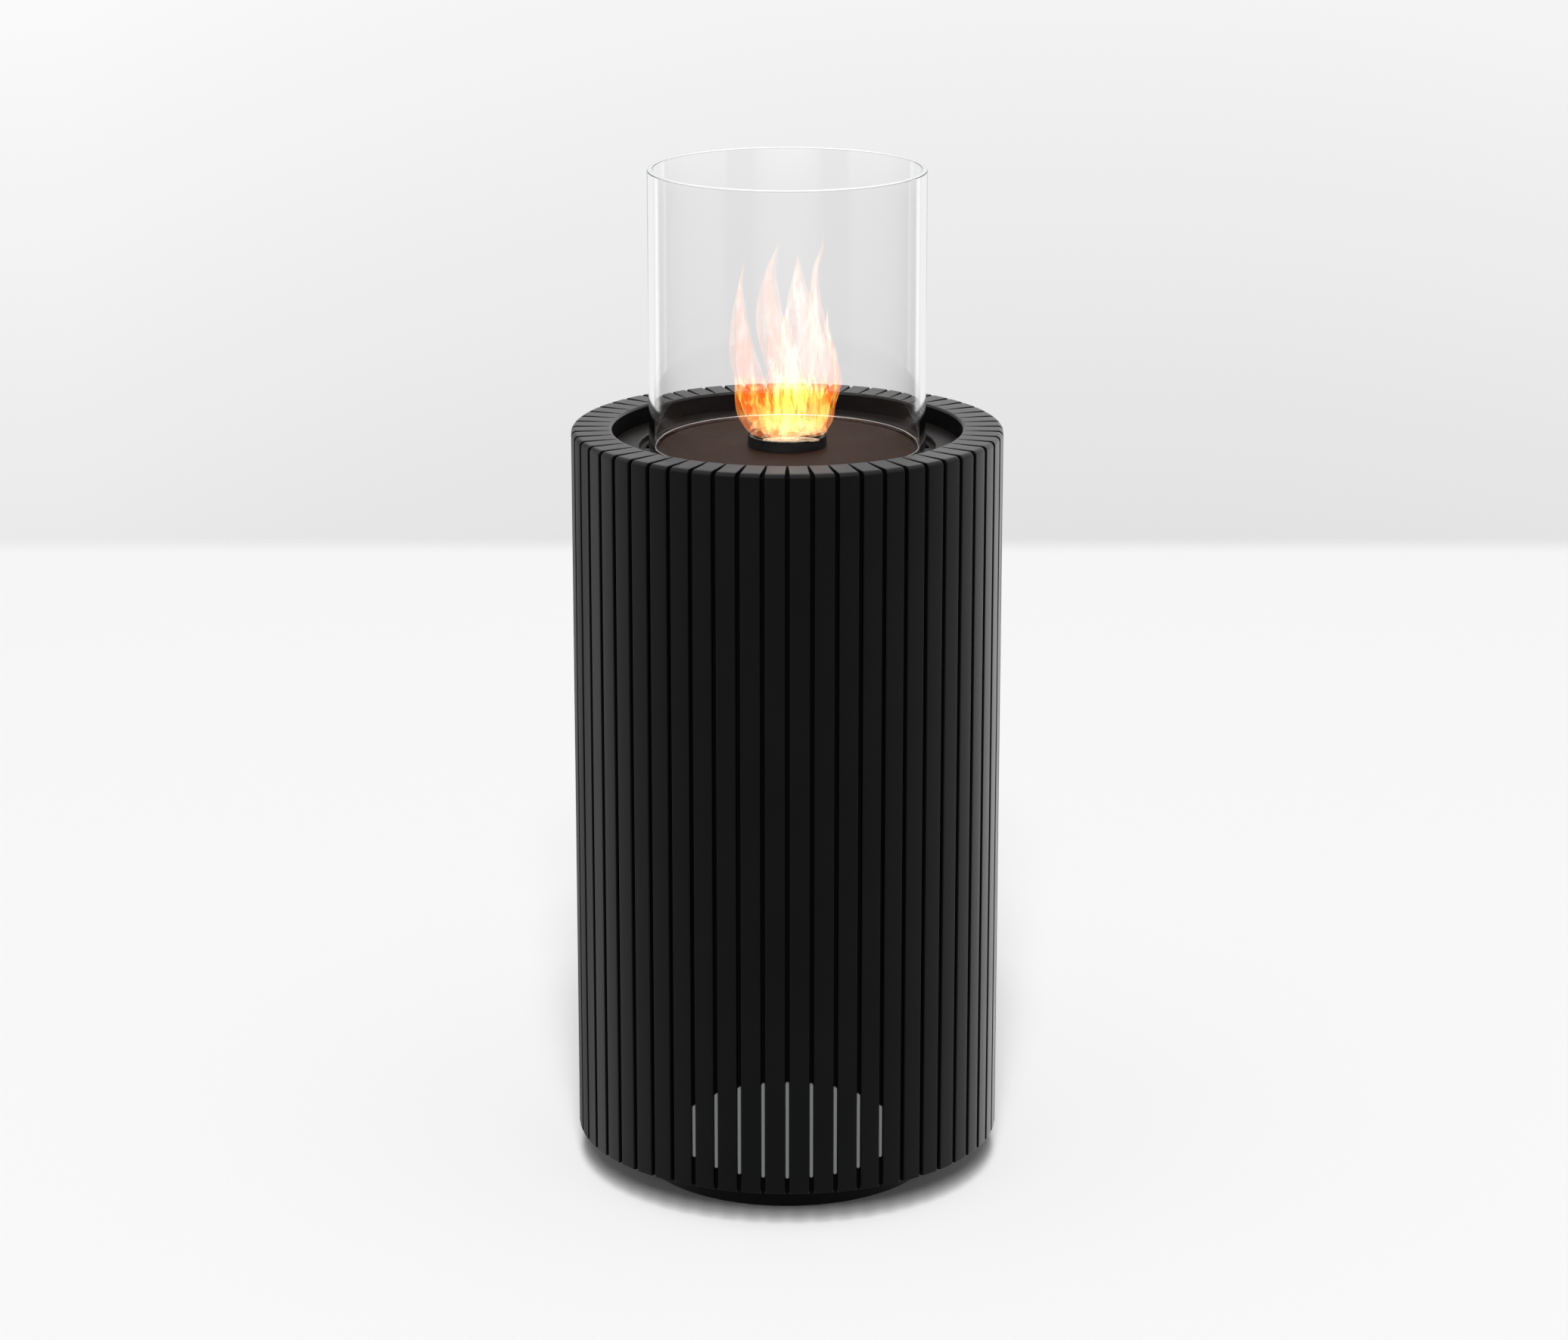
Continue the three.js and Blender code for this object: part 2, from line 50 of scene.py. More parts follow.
def linear(hex_colour):
    """An sRGB hex value as the linear colour that a shader takes."""
    channels = [int(hex_colour[place:place + 2], 16) / 255 for place in (1, 3, 5)]
    return (*[c / 12.92 if c <= 0.04045 else ((c + 0.055) / 1.055) ** 2.4 for c in channels], 1)


def add(tree, kind, settings, links=None):
    """Adds one node. settings holds its properties and input values, links the sources of its inputs."""
    node = tree.nodes.new(kind)
    for name, value in settings.items():
        if isinstance(name, int) or name in node.inputs:
            node.inputs[name].default_value = value
        else:
            setattr(node, name, value)
    for name, source in (links or {}).items():
        tree.links.new(source, node.inputs[name])
    return node


def new_finish(name):
    """An empty material with the tree and the surface shader that its section fills in."""
    material = bpy.data.materials.new(name)
    material.use_nodes = True
    return material, material.node_tree, material.node_tree.nodes["Principled BSDF"]


# Nitrile rubber, moulded: a dull near-black that greys a little where it is handled.
# The mould's grain is about 0.5 mm.
rubber, tree, surface = new_finish("moulded_rubber")
place = add(tree, "ShaderNodeTexCoord", {})
grain = add(tree, "ShaderNodeTexNoise", {"Scale": 2000, "Detail": 2}, {"Vector": place.outputs["Object"]})
tone = add(tree, "ShaderNodeMixRGB", {"Color1": linear("#161616"), "Color2": linear("#232322")},
           {"Fac": grain.outputs["Fac"]})
relief = add(tree, "ShaderNodeBump", {"Strength": 0.3, "Distance": 0.0001}, {"Height": grain.outputs["Fac"]})
tree.links.new(tone.outputs["Color"], surface.inputs["Base Color"])
tree.links.new(relief.outputs["Normal"], surface.inputs["Normal"])
surface.inputs["Roughness"].default_value = 0.8

# Steel, zinc-plated: a cool pale metal with a faint cloudiness a few millimetres across.
plated_steel, tree, surface = new_finish("zinc_plated_steel")
place = add(tree, "ShaderNodeTexCoord", {})
cloud = add(tree, "ShaderNodeTexNoise", {"Scale": 300, "Detail": 4}, {"Vector": place.outputs["Object"]})
tone = add(tree, "ShaderNodeMixRGB", {"Color1": linear("#9a9c9e"), "Color2": linear("#c4c6c8")},
           {"Fac": cloud.outputs["Fac"]})
dullness = add(tree, "ShaderNodeMapRange", {"To Min": 0.28, "To Max": 0.45}, {"Value": cloud.outputs["Fac"]})
tree.links.new(tone.outputs["Color"], surface.inputs["Base Color"])
tree.links.new(dullness.outputs["Result"], surface.inputs["Roughness"])
surface.inputs["Metallic"].default_value = 1.0

for number in (1, 2, 3, 4):
    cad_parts[f"foot_pad_{number}"].data.materials[0] = rubber
    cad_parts[f"foot_stud_{number}"].data.materials[0] = plated_steel
    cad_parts[f"foot_nut_{number}"].data.materials[0] = plated_steel

# ---------------------------------------------------------------- recessed plinth
# A ring of 3 mm steel sheet, rolled and flanged inwards at its top, bolted under the base plate. It lifts
# the ribs 37 mm off the floor and stays in their shadow. Powder-coated matt black.


def rounded(outline, steps=3):
    """An outline of (radius, height, corner radius) points with each corner turned into an arc."""
    corners = [Vector(point[:2]) for point in outline]
    points = []
    for index, corner in enumerate(corners):
        radius = outline[index][2] if len(outline[index]) > 2 else 0
        before, after = corners[index - 1] - corner, corners[(index + 1) % len(corners)] - corner
        if radius == 0:
            points.append(tuple(corner))
            continue
        half = before.angle(after) / 2
        reach = min(radius / math.tan(half), before.length * 0.48, after.length * 0.48)
        start, end = corner + before.normalized() * reach, corner + after.normalized() * reach
        centre = corner + (before.normalized() + after.normalized()).normalized() * (reach / math.cos(half))
        for step in range(steps + 1):
            spoke = (start - centre).lerp(end - centre, step / steps)
            points.append(tuple(centre + spoke.normalized() * (start - centre).length))
    return points


def turned(name, outline, steps=192, crease=36):
    """A closed mesh turned about the column's axis from (radius, height) points in millimetres."""
    shape = bmesh.new()
    rings = []
    for radius, height in outline:
        if radius < 1e-6:
            rings.append([shape.verts.new((0, 0, height / 1000))] * steps)
            continue
        rings.append([
            shape.verts.new((
                radius * math.cos(2 * math.pi * step / steps) / 1000,
                radius * math.sin(2 * math.pi * step / steps) / 1000,
                height / 1000,
            ))
            for step in range(steps)
        ])
    last = len(rings) if outline[0][0] > 0 else len(rings) - 1
    for row in range(last):
        low, high = rings[row], rings[(row + 1) % len(rings)]
        for step in range(steps):
            following = (step + 1) % steps
            corners = []
            for vertex in (low[step], low[following], high[following], high[step]):
                if vertex not in corners:
                    corners.append(vertex)
            shape.faces.new(corners)
    bmesh.ops.recalc_face_normals(shape, faces=shape.faces)
    return finished(name, shape, crease)


def finished(name, shape, crease=36):
    """The mesh of a bmesh, shaded smooth up to a crease angle in degrees."""
    mesh = bpy.data.meshes.new(name)
    shape.to_mesh(mesh)
    shape.free()
    return shaded(mesh, crease)


def shaded(mesh, crease=36):
    """A mesh shaded smooth, but for its edges that are sharper than a crease angle in degrees."""
    mesh.shade_smooth()
    mesh.set_sharp_from_angle(angle=math.radians(crease))
    return mesh


def fitted(name, mesh, material, body, slot, *nodes):
    """Puts a mesh into the scene as a piece that rides on a body and stands for its CAD nodes."""
    piece = bpy.data.objects.new(name, mesh)
    bpy.context.scene.collection.objects.link(piece)
    piece.data.materials.append(material)
    shading = piece.modifiers.new("even_shading", "WEIGHTED_NORMAL")
    shading.keep_sharp = True
    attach(piece, body)
    if nodes:
        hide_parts(*nodes)
    return piece


# Steel, powder-coated matt: a dead black with the coat's fine orange peel, about 1 mm across.
matt_coat, tree, surface = new_finish("matt_black_powder_coat")
place = add(tree, "ShaderNodeTexCoord", {})
peel = add(tree, "ShaderNodeTexNoise", {"Scale": 1000, "Detail": 1}, {"Vector": place.outputs["Object"]})
tone = add(tree, "ShaderNodeMixRGB", {"Color1": linear("#0c0c0c"), "Color2": linear("#121212")},
           {"Fac": peel.outputs["Fac"]})
relief = add(tree, "ShaderNodeBump", {"Strength": 0.25, "Distance": 0.0001}, {"Height": peel.outputs["Fac"]})
tree.links.new(tone.outputs["Color"], surface.inputs["Base Color"])
tree.links.new(relief.outputs["Normal"], surface.inputs["Normal"])
surface.inputs["Roughness"].default_value = 0.6
surface.inputs["Specular IOR Level"].default_value = 0.3

plinth_top, plinth_low, plinth_radius, plinth_sheet, plinth_flange = 36.7, 0.6, 140, 3, 36
fitted("plinth_skirt", turned("plinth_skirt", rounded([
    (plinth_radius, plinth_low, 0.8),
    (plinth_radius, plinth_top, 3),
    (plinth_radius - plinth_flange, plinth_top, 0.8),
    (plinth_radius - plinth_flange, plinth_top - plinth_sheet, 0.8),
    (plinth_radius - plinth_sheet, plinth_top - plinth_sheet, 0.5),
    (plinth_radius - plinth_sheet, plinth_low, 0.8),
])), matt_coat, "column", "base_black", "plinth_ring")
for number in (1, 2, 3, 4):
    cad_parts[f"plinth_bolt_{number}"].data.materials[0] = plated_steel

# ---------------------------------------------------------------- base plate
# A laser-cut disc of 6 mm steel that closes the column's foot and carries plinth and feet. Four
# screws hold it to the casting's bosses. It has the same matt black coat as the plinth.

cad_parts["base_plate"].data.materials[0] = matt_coat
for number in (1, 2, 3, 4):
    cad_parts[f"base_screw_{number}"].data.materials[0] = plated_steel

# ---------------------------------------------------------------- ribbed body
# One hollow casting of aluminium with 56 ribs. The grooves between them run up the wall, over the rim
# and inwards along its face, where they get narrower and shallower until they end.

rib_count = 56
column_radius, foot, top = 199.9, 37, 717
foot_round, rim_round, well_radius, well_round = 1, 4.5, 162, 3
groove_width, groove_depth, groove_end_width, groove_end = 4.2, 5, 2, 167.5
rib_edge, groove_fillet, run_out_depth = 0.9, 0.6, 0.02
wall_inside, ledge_radius, ledge_top, ledge_low = 191, 152, 697.2, 691.2
nook_radius, nook_top = 169, 707


def rib_rows():
    """The casting's outline in rows: a point on the rib, one on the groove's floor, the groove's width."""
    floor_radius, floor_round = column_radius - groove_depth, groove_depth / 2
    rows = [((wall_inside, foot), None, groove_width)]
    for turn in (0, 45, 90):
        out, up = foot_round * math.sin(math.radians(turn)), foot_round * (1 - math.cos(math.radians(turn)))
        rib_point = (column_radius - foot_round + out, foot + up)
        rows.append((rib_point, (floor_radius, foot + 0.4 * up), groove_width))
    for height in (foot + 160, foot + 320, foot + 480):
        rows.append(((column_radius, height), (floor_radius, height), groove_width))
    face_start, floor_start = column_radius - rim_round, floor_radius - floor_round
    floor_top = top - groove_depth
    for turn in (0, 22.5, 45, 67.5, 90):
        out, up = math.cos(math.radians(turn)), math.sin(math.radians(turn))
        rows.append((
            (face_start + rim_round * out, top - rim_round + rim_round * up),
            (floor_start + floor_round * out, floor_top - floor_round + floor_round * up),
            groove_width,
        ))
    for share in (0.25, 0.5, 0.75, 1):
        floor_height = top - groove_depth * (1 - share) - run_out_depth
        rows.append((
            (face_start + (groove_end - face_start) * share, top),
            (floor_start + (groove_end - floor_start) * share, floor_height),
            groove_width + (groove_end_width - groove_width) * share,
        ))
    for turn in (90, 112.5, 135, 157.5, 180):
        out, up = math.cos(math.radians(turn)), math.sin(math.radians(turn))
        point = (well_radius + well_round * (1 + out), top - well_round * (1 - up))
        rows.append((point, None, groove_end_width))
    for point in ((well_radius, ledge_top), (ledge_radius, ledge_top), (ledge_radius, ledge_low),
                  (nook_radius, ledge_low), (nook_radius, nook_top), (wall_inside, nook_top)):
        rows.append((point, None, groove_end_width))
    return rows


def rib_section(surface_radius, depth, width):
    """Half a groove's cross-section, from the rib's middle to the groove's: angle from the groove, depth."""
    pitch = math.pi / rib_count
    shrink = min(1, depth / (2 * (rib_edge + groove_fillet)))
    edge, fillet = rib_edge * shrink, groove_fillet * shrink
    half = width / 2
    shoulder = (half + edge) / surface_radius
    return [
        (pitch, 0),
        ((pitch + shoulder) / 2, 0),
        (shoulder, 0),
        ((half + edge * 0.5) / surface_radius, edge * 0.134),
        ((half + edge * 0.134) / surface_radius, edge * 0.5),
        (half / surface_radius, edge),
        (half / surface_radius, depth - fillet),
        ((half - fillet * 0.29) / surface_radius, depth - fillet * 0.29),
        ((half - fillet) / surface_radius, depth),
        (0, depth),
    ]


def ribbed_body():
    """The casting as one closed skin: each row of its outline goes round all the ribs and grooves."""
    shape = bmesh.new()
    rings = []
    groove_rows, groove_points, first_well_row = range(1, 16), range(5, 13), 19
    for surface_point, floor_point, width in rib_rows():
        surface_point = Vector(surface_point)
        towards = Vector(floor_point) - surface_point if floor_point else Vector((0, 0))
        depth = towards.length
        towards = towards.normalized() if depth > 0 else towards
        radius = surface_point.x if floor_point else groove_end
        if surface_point == Vector((wall_inside, foot)) or surface_point == Vector((wall_inside, nook_top)):
            radius, width = column_radius, groove_width
        half_section = rib_section(radius, depth, width)
        section = half_section + [(-angle, deep) for angle, deep in half_section[-2:0:-1]]
        ring = []
        for rib in range(rib_count):
            middle = -math.pi / 2 + 2 * math.pi * rib / rib_count
            for angle, deep in section:
                point = surface_point + towards * deep
                turn = middle - angle
                ring.append(shape.verts.new((
                    point.x * math.cos(turn) / 1000, point.x * math.sin(turn) / 1000, point.y / 1000,
                )))
        rings.append(ring)
    count = len(rings[0])
    for row, low in enumerate(rings):
        high = rings[(row + 1) % len(rings)]
        for step in range(count):
            following = (step + 1) % count
            face = shape.faces.new((low[step], low[following], high[following], high[step]))
            # Groove faces and every row from the well's rounding inwards take material 1, a darker coat that
            # paints their shade
            in_groove = row in groove_rows and step % len(section) in groove_points
            face.material_index = int(in_groove or row >= first_well_row)
    bmesh.ops.recalc_face_normals(shape, faces=shape.faces)
    return finished("ribbed_body", shape)


# Air inlet: nine slots with round ends through the groove floors, inside an oval that droops at its
# sides. The middle slot reaches 47 mm up and down from its middle, and there are four at either side.
slot_width, slot_reach, slot_middle, slot_half, slot_sag, slot_margin = 3.6, 4, 99, 47, 8.3, 0.75
slot_near, slot_far = 187, 198.5


def slot_bars(gap, near, far, shape):
    """Adds bars with round ends on the slots' lines, drawn in by a gap, from radius near to radius far."""
    radius = slot_width / 2 - gap
    for step in range(-slot_reach, slot_reach + 1):
        half = slot_half * math.sqrt(1 - (step / (slot_reach + slot_margin)) ** 2) - slot_width / 2
        middle = slot_middle - slot_sag * (step / slot_reach) ** 2
        outline = []
        for end in (1, -1):
            for turn in range(9):
                angle = math.pi * turn / 8
                across, up = radius * math.cos(angle), half + radius * math.sin(angle)
                outline.append((end * across, middle + end * up))
        outside = [shape.verts.new((x / 1000, -far / 1000, z / 1000)) for x, z in outline]
        inside = [shape.verts.new((x / 1000, -near / 1000, z / 1000)) for x, z in outline]
        shape.faces.new(outside)
        shape.faces.new(inside[::-1])
        for index in range(len(outline)):
            following = (index + 1) % len(outline)
            shape.faces.new((outside[following], outside[index], inside[index], inside[following]))
        to_its_groove = Matrix.Rotation(2 * math.pi * step / rib_count, 3, "Z")
        bmesh.ops.rotate(shape, verts=outside + inside, cent=(0, 0, 0), matrix=to_its_groove)
    bmesh.ops.recalc_face_normals(shape, faces=shape.faces)
    return shape


def cut(mesh, cutter_mesh):
    """A mesh with a cutter taken away, as a new mesh."""
    work, cutter = bpy.data.objects.new("work", mesh), bpy.data.objects.new("cutter", cutter_mesh)
    for made in (work, cutter):
        bpy.context.scene.collection.objects.link(made)
    modifier = work.modifiers.new("cut", "BOOLEAN")
    modifier.object, modifier.operation, modifier.solver = cutter, "DIFFERENCE", "EXACT"
    bpy.context.view_layer.update()
    result = bpy.data.meshes.new_from_object(work.evaluated_get(bpy.context.evaluated_depsgraph_get()))
    result.name = mesh.name
    bpy.data.objects.remove(work)
    bpy.data.objects.remove(cutter)
    return shaded(result)


# Cast aluminium, satin powder coat: near black, with a soft sheen that shows most at a low angle, the
# coat's orange peel about 1 mm across, and a slow unevenness in the sheen from the spraying.
satin_coat, tree, surface = new_finish("satin_black_powder_coat")
place = add(tree, "ShaderNodeTexCoord", {})
peel = add(tree, "ShaderNodeTexNoise", {"Scale": 900, "Detail": 2}, {"Vector": place.outputs["Object"]})
spray = add(tree, "ShaderNodeTexNoise", {"Scale": 9, "Detail": 3}, {"Vector": place.outputs["Object"]})
tone = add(tree, "ShaderNodeMixRGB", {"Color1": linear("#0a0a0a"), "Color2": linear("#0f0f10")},
           {"Fac": spray.outputs["Fac"]})
dullness = add(tree, "ShaderNodeMapRange", {"To Min": 0.27, "To Max": 0.36}, {"Value": spray.outputs["Fac"]})
relief = add(tree, "ShaderNodeBump", {"Strength": 0.2, "Distance": 0.0001}, {"Height": peel.outputs["Fac"]})
tree.links.new(tone.outputs["Color"], surface.inputs["Base Color"])
tree.links.new(dullness.outputs["Result"], surface.inputs["Roughness"])
tree.links.new(relief.outputs["Normal"], surface.inputs["Normal"])
surface.inputs["Specular IOR Level"].default_value = 0.5

body_mesh = cut(ribbed_body(), finished("slot_cutters", slot_bars(0, slot_near, slot_far, bmesh.new())))
body = fitted("ribbed_body", body_mesh, satin_coat, "column", "satin_black", "ribbed_shell")

# A copy of the coat for the grooves and down the well's wall, darker and quite dull. It is painted shade, so
# that the grooves read as dark lines and the well's wall stays dark.
painted_shade_coat = satin_coat.copy()
painted_shade_coat.name = "painted_shade_black_powder_coat"
surface = painted_shade_coat.node_tree.nodes["Principled BSDF"]
for socket, value in (("Base Color", linear("#050505")), ("Roughness", 0.9)):
    painted_shade_coat.node_tree.links.remove(surface.inputs[socket].links[0])
    surface.inputs[socket].default_value = value
surface.inputs["Specular IOR Level"].default_value = 0.1
body.data.materials.append(painted_shade_coat)

# ---------------------------------------------------------------- air-inlet mesh
# A strip of fine woven steel wire, rolled to the wall's inside and held by four small screws. Nine
# pressed ridges stand in the slots, so leaves and insects find no gap, and show there as grey lines.

# Steel wire, woven: a dull mid grey, with the weave drawn at 1.6 mm, coarser than real, so that it can show.
wire_spacing = 0.0016
wire_mesh, tree, surface = new_finish("woven_steel_wire")
place = add(tree, "ShaderNodeTexCoord", {})
apart = add(tree, "ShaderNodeSeparateXYZ", {}, {"Vector": place.outputs["Object"]})
across = add(tree, "ShaderNodeMath", {"operation": "MULTIPLY", 1: 2 * math.pi / wire_spacing},
             {0: apart.outputs["X"]})
along = add(tree, "ShaderNodeMath", {"operation": "MULTIPLY", 1: 2 * math.pi / wire_spacing},
            {0: apart.outputs["Z"]})
warp = add(tree, "ShaderNodeMath", {"operation": "SINE"}, {0: across.outputs["Value"]})
weft = add(tree, "ShaderNodeMath", {"operation": "SINE"}, {0: along.outputs["Value"]})
weave = add(tree, "ShaderNodeMath", {"operation": "MULTIPLY"},
            {0: warp.outputs["Value"], 1: weft.outputs["Value"]})
height = add(tree, "ShaderNodeMapRange", {"From Min": -1.0, "From Max": 1.0},
             {"Value": weave.outputs["Value"]})
tone = add(tree, "ShaderNodeMixRGB", {"Color1": linear("#5b5c5d"), "Color2": linear("#838484")},
           {"Fac": height.outputs["Result"]})
relief = add(tree, "ShaderNodeBump", {"Strength": 0.3, "Distance": 0.0003},
             {"Height": height.outputs["Result"]})
tree.links.new(tone.outputs["Color"], surface.inputs["Base Color"])
tree.links.new(relief.outputs["Normal"], surface.inputs["Normal"])
surface.inputs["Metallic"].default_value = 0.2
surface.inputs["Roughness"].default_value = 0.6

mesh_inside, mesh_outside, mesh_low, mesh_high = 189.1, 190.3, 48, 154
ridge_gap, ridge_foot, ridge_top = 0.15, 189.5, 198.5


def bent_strip(shape, near, far, low, high, middle, spread, steps):
    """Adds a strip bent round the column's axis, spread out to both sides of the angle middle."""
    rows = []
    for step in range(steps + 1):
        angle = middle - spread + 2 * spread * step / steps
        rows.append([
            shape.verts.new((radius * math.cos(angle) / 1000, radius * math.sin(angle) / 1000, z / 1000))
            for radius, z in ((near, low), (far, low), (far, high), (near, high))
        ])
    for row, following in zip(rows, rows[1:]):
        for side in range(4):
            next_side = (side + 1) % 4
            shape.faces.new((row[side], row[next_side], following[next_side], following[side]))
    shape.faces.new(rows[0][::-1])
    shape.faces.new(rows[-1])


mesh_shape = bmesh.new()
mesh_spread = 2 * math.pi * (slot_reach + 1) / rib_count
bent_strip(mesh_shape, mesh_inside, mesh_outside, mesh_low, mesh_high, -math.pi / 2, mesh_spread, 40)
slot_bars(ridge_gap, ridge_foot, ridge_top, mesh_shape)
vent = fitted("pressed_mesh", finished("pressed_mesh", mesh_shape), wire_mesh, "column", "zinc", "vent_mesh")
rolled = vent.modifiers.new("rolled_edges", "BEVEL")
rolled.width, rolled.segments = 0.0006, 3
for number in (1, 2, 3, 4):
    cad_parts[f"mesh_screw_{number}"].data.materials[0] = plated_steel

# ---------------------------------------------------------------- burner tray
# A pressing of 2.5 mm steel that hangs in the well on four studs: a flat flange, a ring channel for the
# glass with air slots in its floor, and a ledge for the burner plate. Sprayed with heat-resistant paint.

tray_floor, tray_sheet, flange_radius = 700, 2.5, 161.3
channel_floor, channel_outside, channel_inside = 693, 137, 118.5
inner_ledge, tray_hole, tray_lip = 696.2, 60, 12
air_slot_count, air_slot_middle, air_slot_half, air_slot_low, air_slot_high = 8, 131.25, 1.9, 689, 694

air_slots = bmesh.new()
for number in range(air_slot_count):
    middle = -math.pi / 2 + math.pi / air_slot_count + 2 * math.pi * number / air_slot_count
    bent_strip(air_slots, air_slot_middle - air_slot_half, air_slot_middle + air_slot_half,
               air_slot_low, air_slot_high, middle, 0.75 * math.pi / air_slot_count, 16)
bmesh.ops.recalc_face_normals(air_slots, faces=air_slots.faces)

# Steel, heat-resistant paint: a warm black with a low sheen, so that it mirrors the well's dark wall at
# the back and the pale room in front of that. Its faint blotches are about 5 cm across, its grit 0.6 mm.
tray_paint, tree, surface = new_finish("heat_resistant_black_paint")
place = add(tree, "ShaderNodeTexCoord", {})
blotch = add(tree, "ShaderNodeTexNoise", {"Scale": 20, "Detail": 5, "Roughness": 0.55},
             {"Vector": place.outputs["Object"]})
grit = add(tree, "ShaderNodeTexNoise", {"Scale": 1600, "Detail": 1}, {"Vector": place.outputs["Object"]})
tone = add(tree, "ShaderNodeMixRGB", {"Color1": linear("#0f0c0b"), "Color2": linear("#181413")},
           {"Fac": blotch.outputs["Fac"]})
dullness = add(tree, "ShaderNodeMapRange", {"To Min": 0.34, "To Max": 0.46}, {"Value": blotch.outputs["Fac"]})
relief = add(tree, "ShaderNodeBump", {"Strength": 0.25, "Distance": 0.0001}, {"Height": grit.outputs["Fac"]})
tree.links.new(tone.outputs["Color"], surface.inputs["Base Color"])
tree.links.new(dullness.outputs["Result"], surface.inputs["Roughness"])
tree.links.new(relief.outputs["Normal"], surface.inputs["Normal"])
surface.inputs["Specular IOR Level"].default_value = 0.35

tray_mesh = turned("burner_tray_pressing", rounded([
    (flange_radius, tray_floor - tray_sheet, 0.6),
    (flange_radius, tray_floor, 0.6),
    (channel_outside, tray_floor, 1.5),
    (channel_outside, channel_floor, 1),
    (channel_inside, channel_floor, 1),
    (channel_inside, inner_ledge, 1.2),
    (tray_hole, inner_ledge, 2),
    (tray_hole, inner_ledge - tray_lip, 0.6),
    (tray_hole + tray_sheet, inner_ledge - tray_lip, 0.6),
    (tray_hole + tray_sheet, inner_ledge - tray_sheet, 1),
    (channel_inside - tray_sheet, inner_ledge - tray_sheet, 1),
    (channel_inside - tray_sheet, channel_floor - tray_sheet, 1),
    (channel_outside + tray_sheet, channel_floor - tray_sheet, 1),
    (channel_outside + tray_sheet, tray_floor - tray_sheet, 1),
]))
slotted_tray = cut(tray_mesh, finished("air_slots", air_slots))
fitted("burner_tray_pressing", slotted_tray, tray_paint, "column", "heat_black", "burner_tray")
for number in (1, 2, 3, 4):
    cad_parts[f"tray_nut_{number}"].data.materials[0] = plated_steel

# ---------------------------------------------------------------- glass pads and guide ring
# Four strips of black silicone rubber, as dull as the feet's pads, keep the glass off the steel, and a
# thin ring of polished stainless steel centres it. The ring's edge stands just above the burner plate
# and catches the flame's light.

for number in (1, 2, 3, 4):
    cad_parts[f"glass_pad_{number}"].data.materials[0] = rubber

# Stainless steel, polished strip: a clear grey mirror with very fine draw lines along the ring.
polished_steel, tree, surface = new_finish("polished_stainless_steel")
place = add(tree, "ShaderNodeTexCoord", {})
drawn = add(tree, "ShaderNodeMapping", {"Scale": (40, 40, 4000)}, {"Vector": place.outputs["Object"]})
lines = add(tree, "ShaderNodeTexNoise", {"Scale": 1.0, "Detail": 2}, {"Vector": drawn.outputs["Vector"]})
dullness = add(tree, "ShaderNodeMapRange", {"To Min": 0.18, "To Max": 0.32}, {"Value": lines.outputs["Fac"]})
tree.links.new(dullness.outputs["Result"], surface.inputs["Roughness"])
surface.inputs["Base Color"].default_value = linear("#d2cbc6")
surface.inputs["Metallic"].default_value = 1.0

guide_low, guide_high, guide_outside, guide_sheet = 693.3, 702.3, 122.4, 1.4
guide_ring = fitted("guide_ring", turned("guide_ring", rounded([
    (guide_outside, guide_low, 0.3),
    (guide_outside, guide_high, 0.3),
    (guide_outside - guide_sheet, guide_high, 1),
    (guide_outside - guide_sheet, guide_low, 0.3),
])), polished_steel, "column", "bright_steel", "glass_guide_ring")

# ---------------------------------------------------------------- glass cylinder
# Drawn borosilicate tube, 256 mm across with a 5 mm wall, cut to 262 mm, fire-polished at its foot and
# ground at its top. It stands loose in the channel and lifts out by hand.

# Borosilicate glass, drawn: clear and nearly without tint, with the faint upright ripple of drawn tube.
clear_glass, tree, surface = new_finish("borosilicate_glass")
place = add(tree, "ShaderNodeTexCoord", {})
drawn = add(tree, "ShaderNodeMapping", {"Scale": (30, 30, 2)}, {"Vector": place.outputs["Object"]})
ripple = add(tree, "ShaderNodeTexNoise", {"Scale": 1.0, "Detail": 1}, {"Vector": drawn.outputs["Vector"]})
relief = add(tree, "ShaderNodeBump", {"Strength": 0.08, "Distance": 0.001}, {"Height": ripple.outputs["Fac"]})
tree.links.new(relief.outputs["Normal"], surface.inputs["Normal"])
surface.inputs["Base Color"].default_value = linear("#fcfcfc")
surface.inputs["Roughness"].default_value = 0.0
surface.inputs["IOR"].default_value = 1.47
surface.inputs["Specular Tint"].default_value = linear("#d9d9d9")
surface.inputs["Transmission Weight"].default_value = 1.0

# The same glass where its top end is ground: a pale satin line that catches the light.
ground_edge = clear_glass.copy()
ground_edge.name = "ground_glass_edge"
surface = ground_edge.node_tree.nodes["Principled BSDF"]
surface.inputs["Base Color"].default_value = linear("#f2f4f4")
surface.inputs["Roughness"].default_value = 0.5
surface.inputs["Transmission Weight"].default_value = 0.15

glass_low, glass_high, glass_outside, glass_wall = 695.6, 958.0, 128, 5
ground_depth, ground_slope = 1.5, 0.45
glass = fitted("glass_tube", turned("glass_tube", rounded([
    (glass_outside, glass_low, 1.6),
    (glass_outside, glass_high, 2.1),
    (glass_outside - glass_wall, glass_high, 1.6),
    (glass_outside - glass_wall, glass_low, 1.6),
], 5), 256, 60), clear_glass, "glass", "clear_glass", "glass_cylinder")
# Clear glass hardly dims the light that passes it, so it throws no shadow
glass.visible_shadow = glass.visible_diffuse = False
glass.data.materials.append(ground_edge)
for face in glass.data.polygons:
    near_top = face.center.z > (glass_high - ground_depth) / 1000
    face.material_index = int(near_top and face.normal.z > ground_slope)
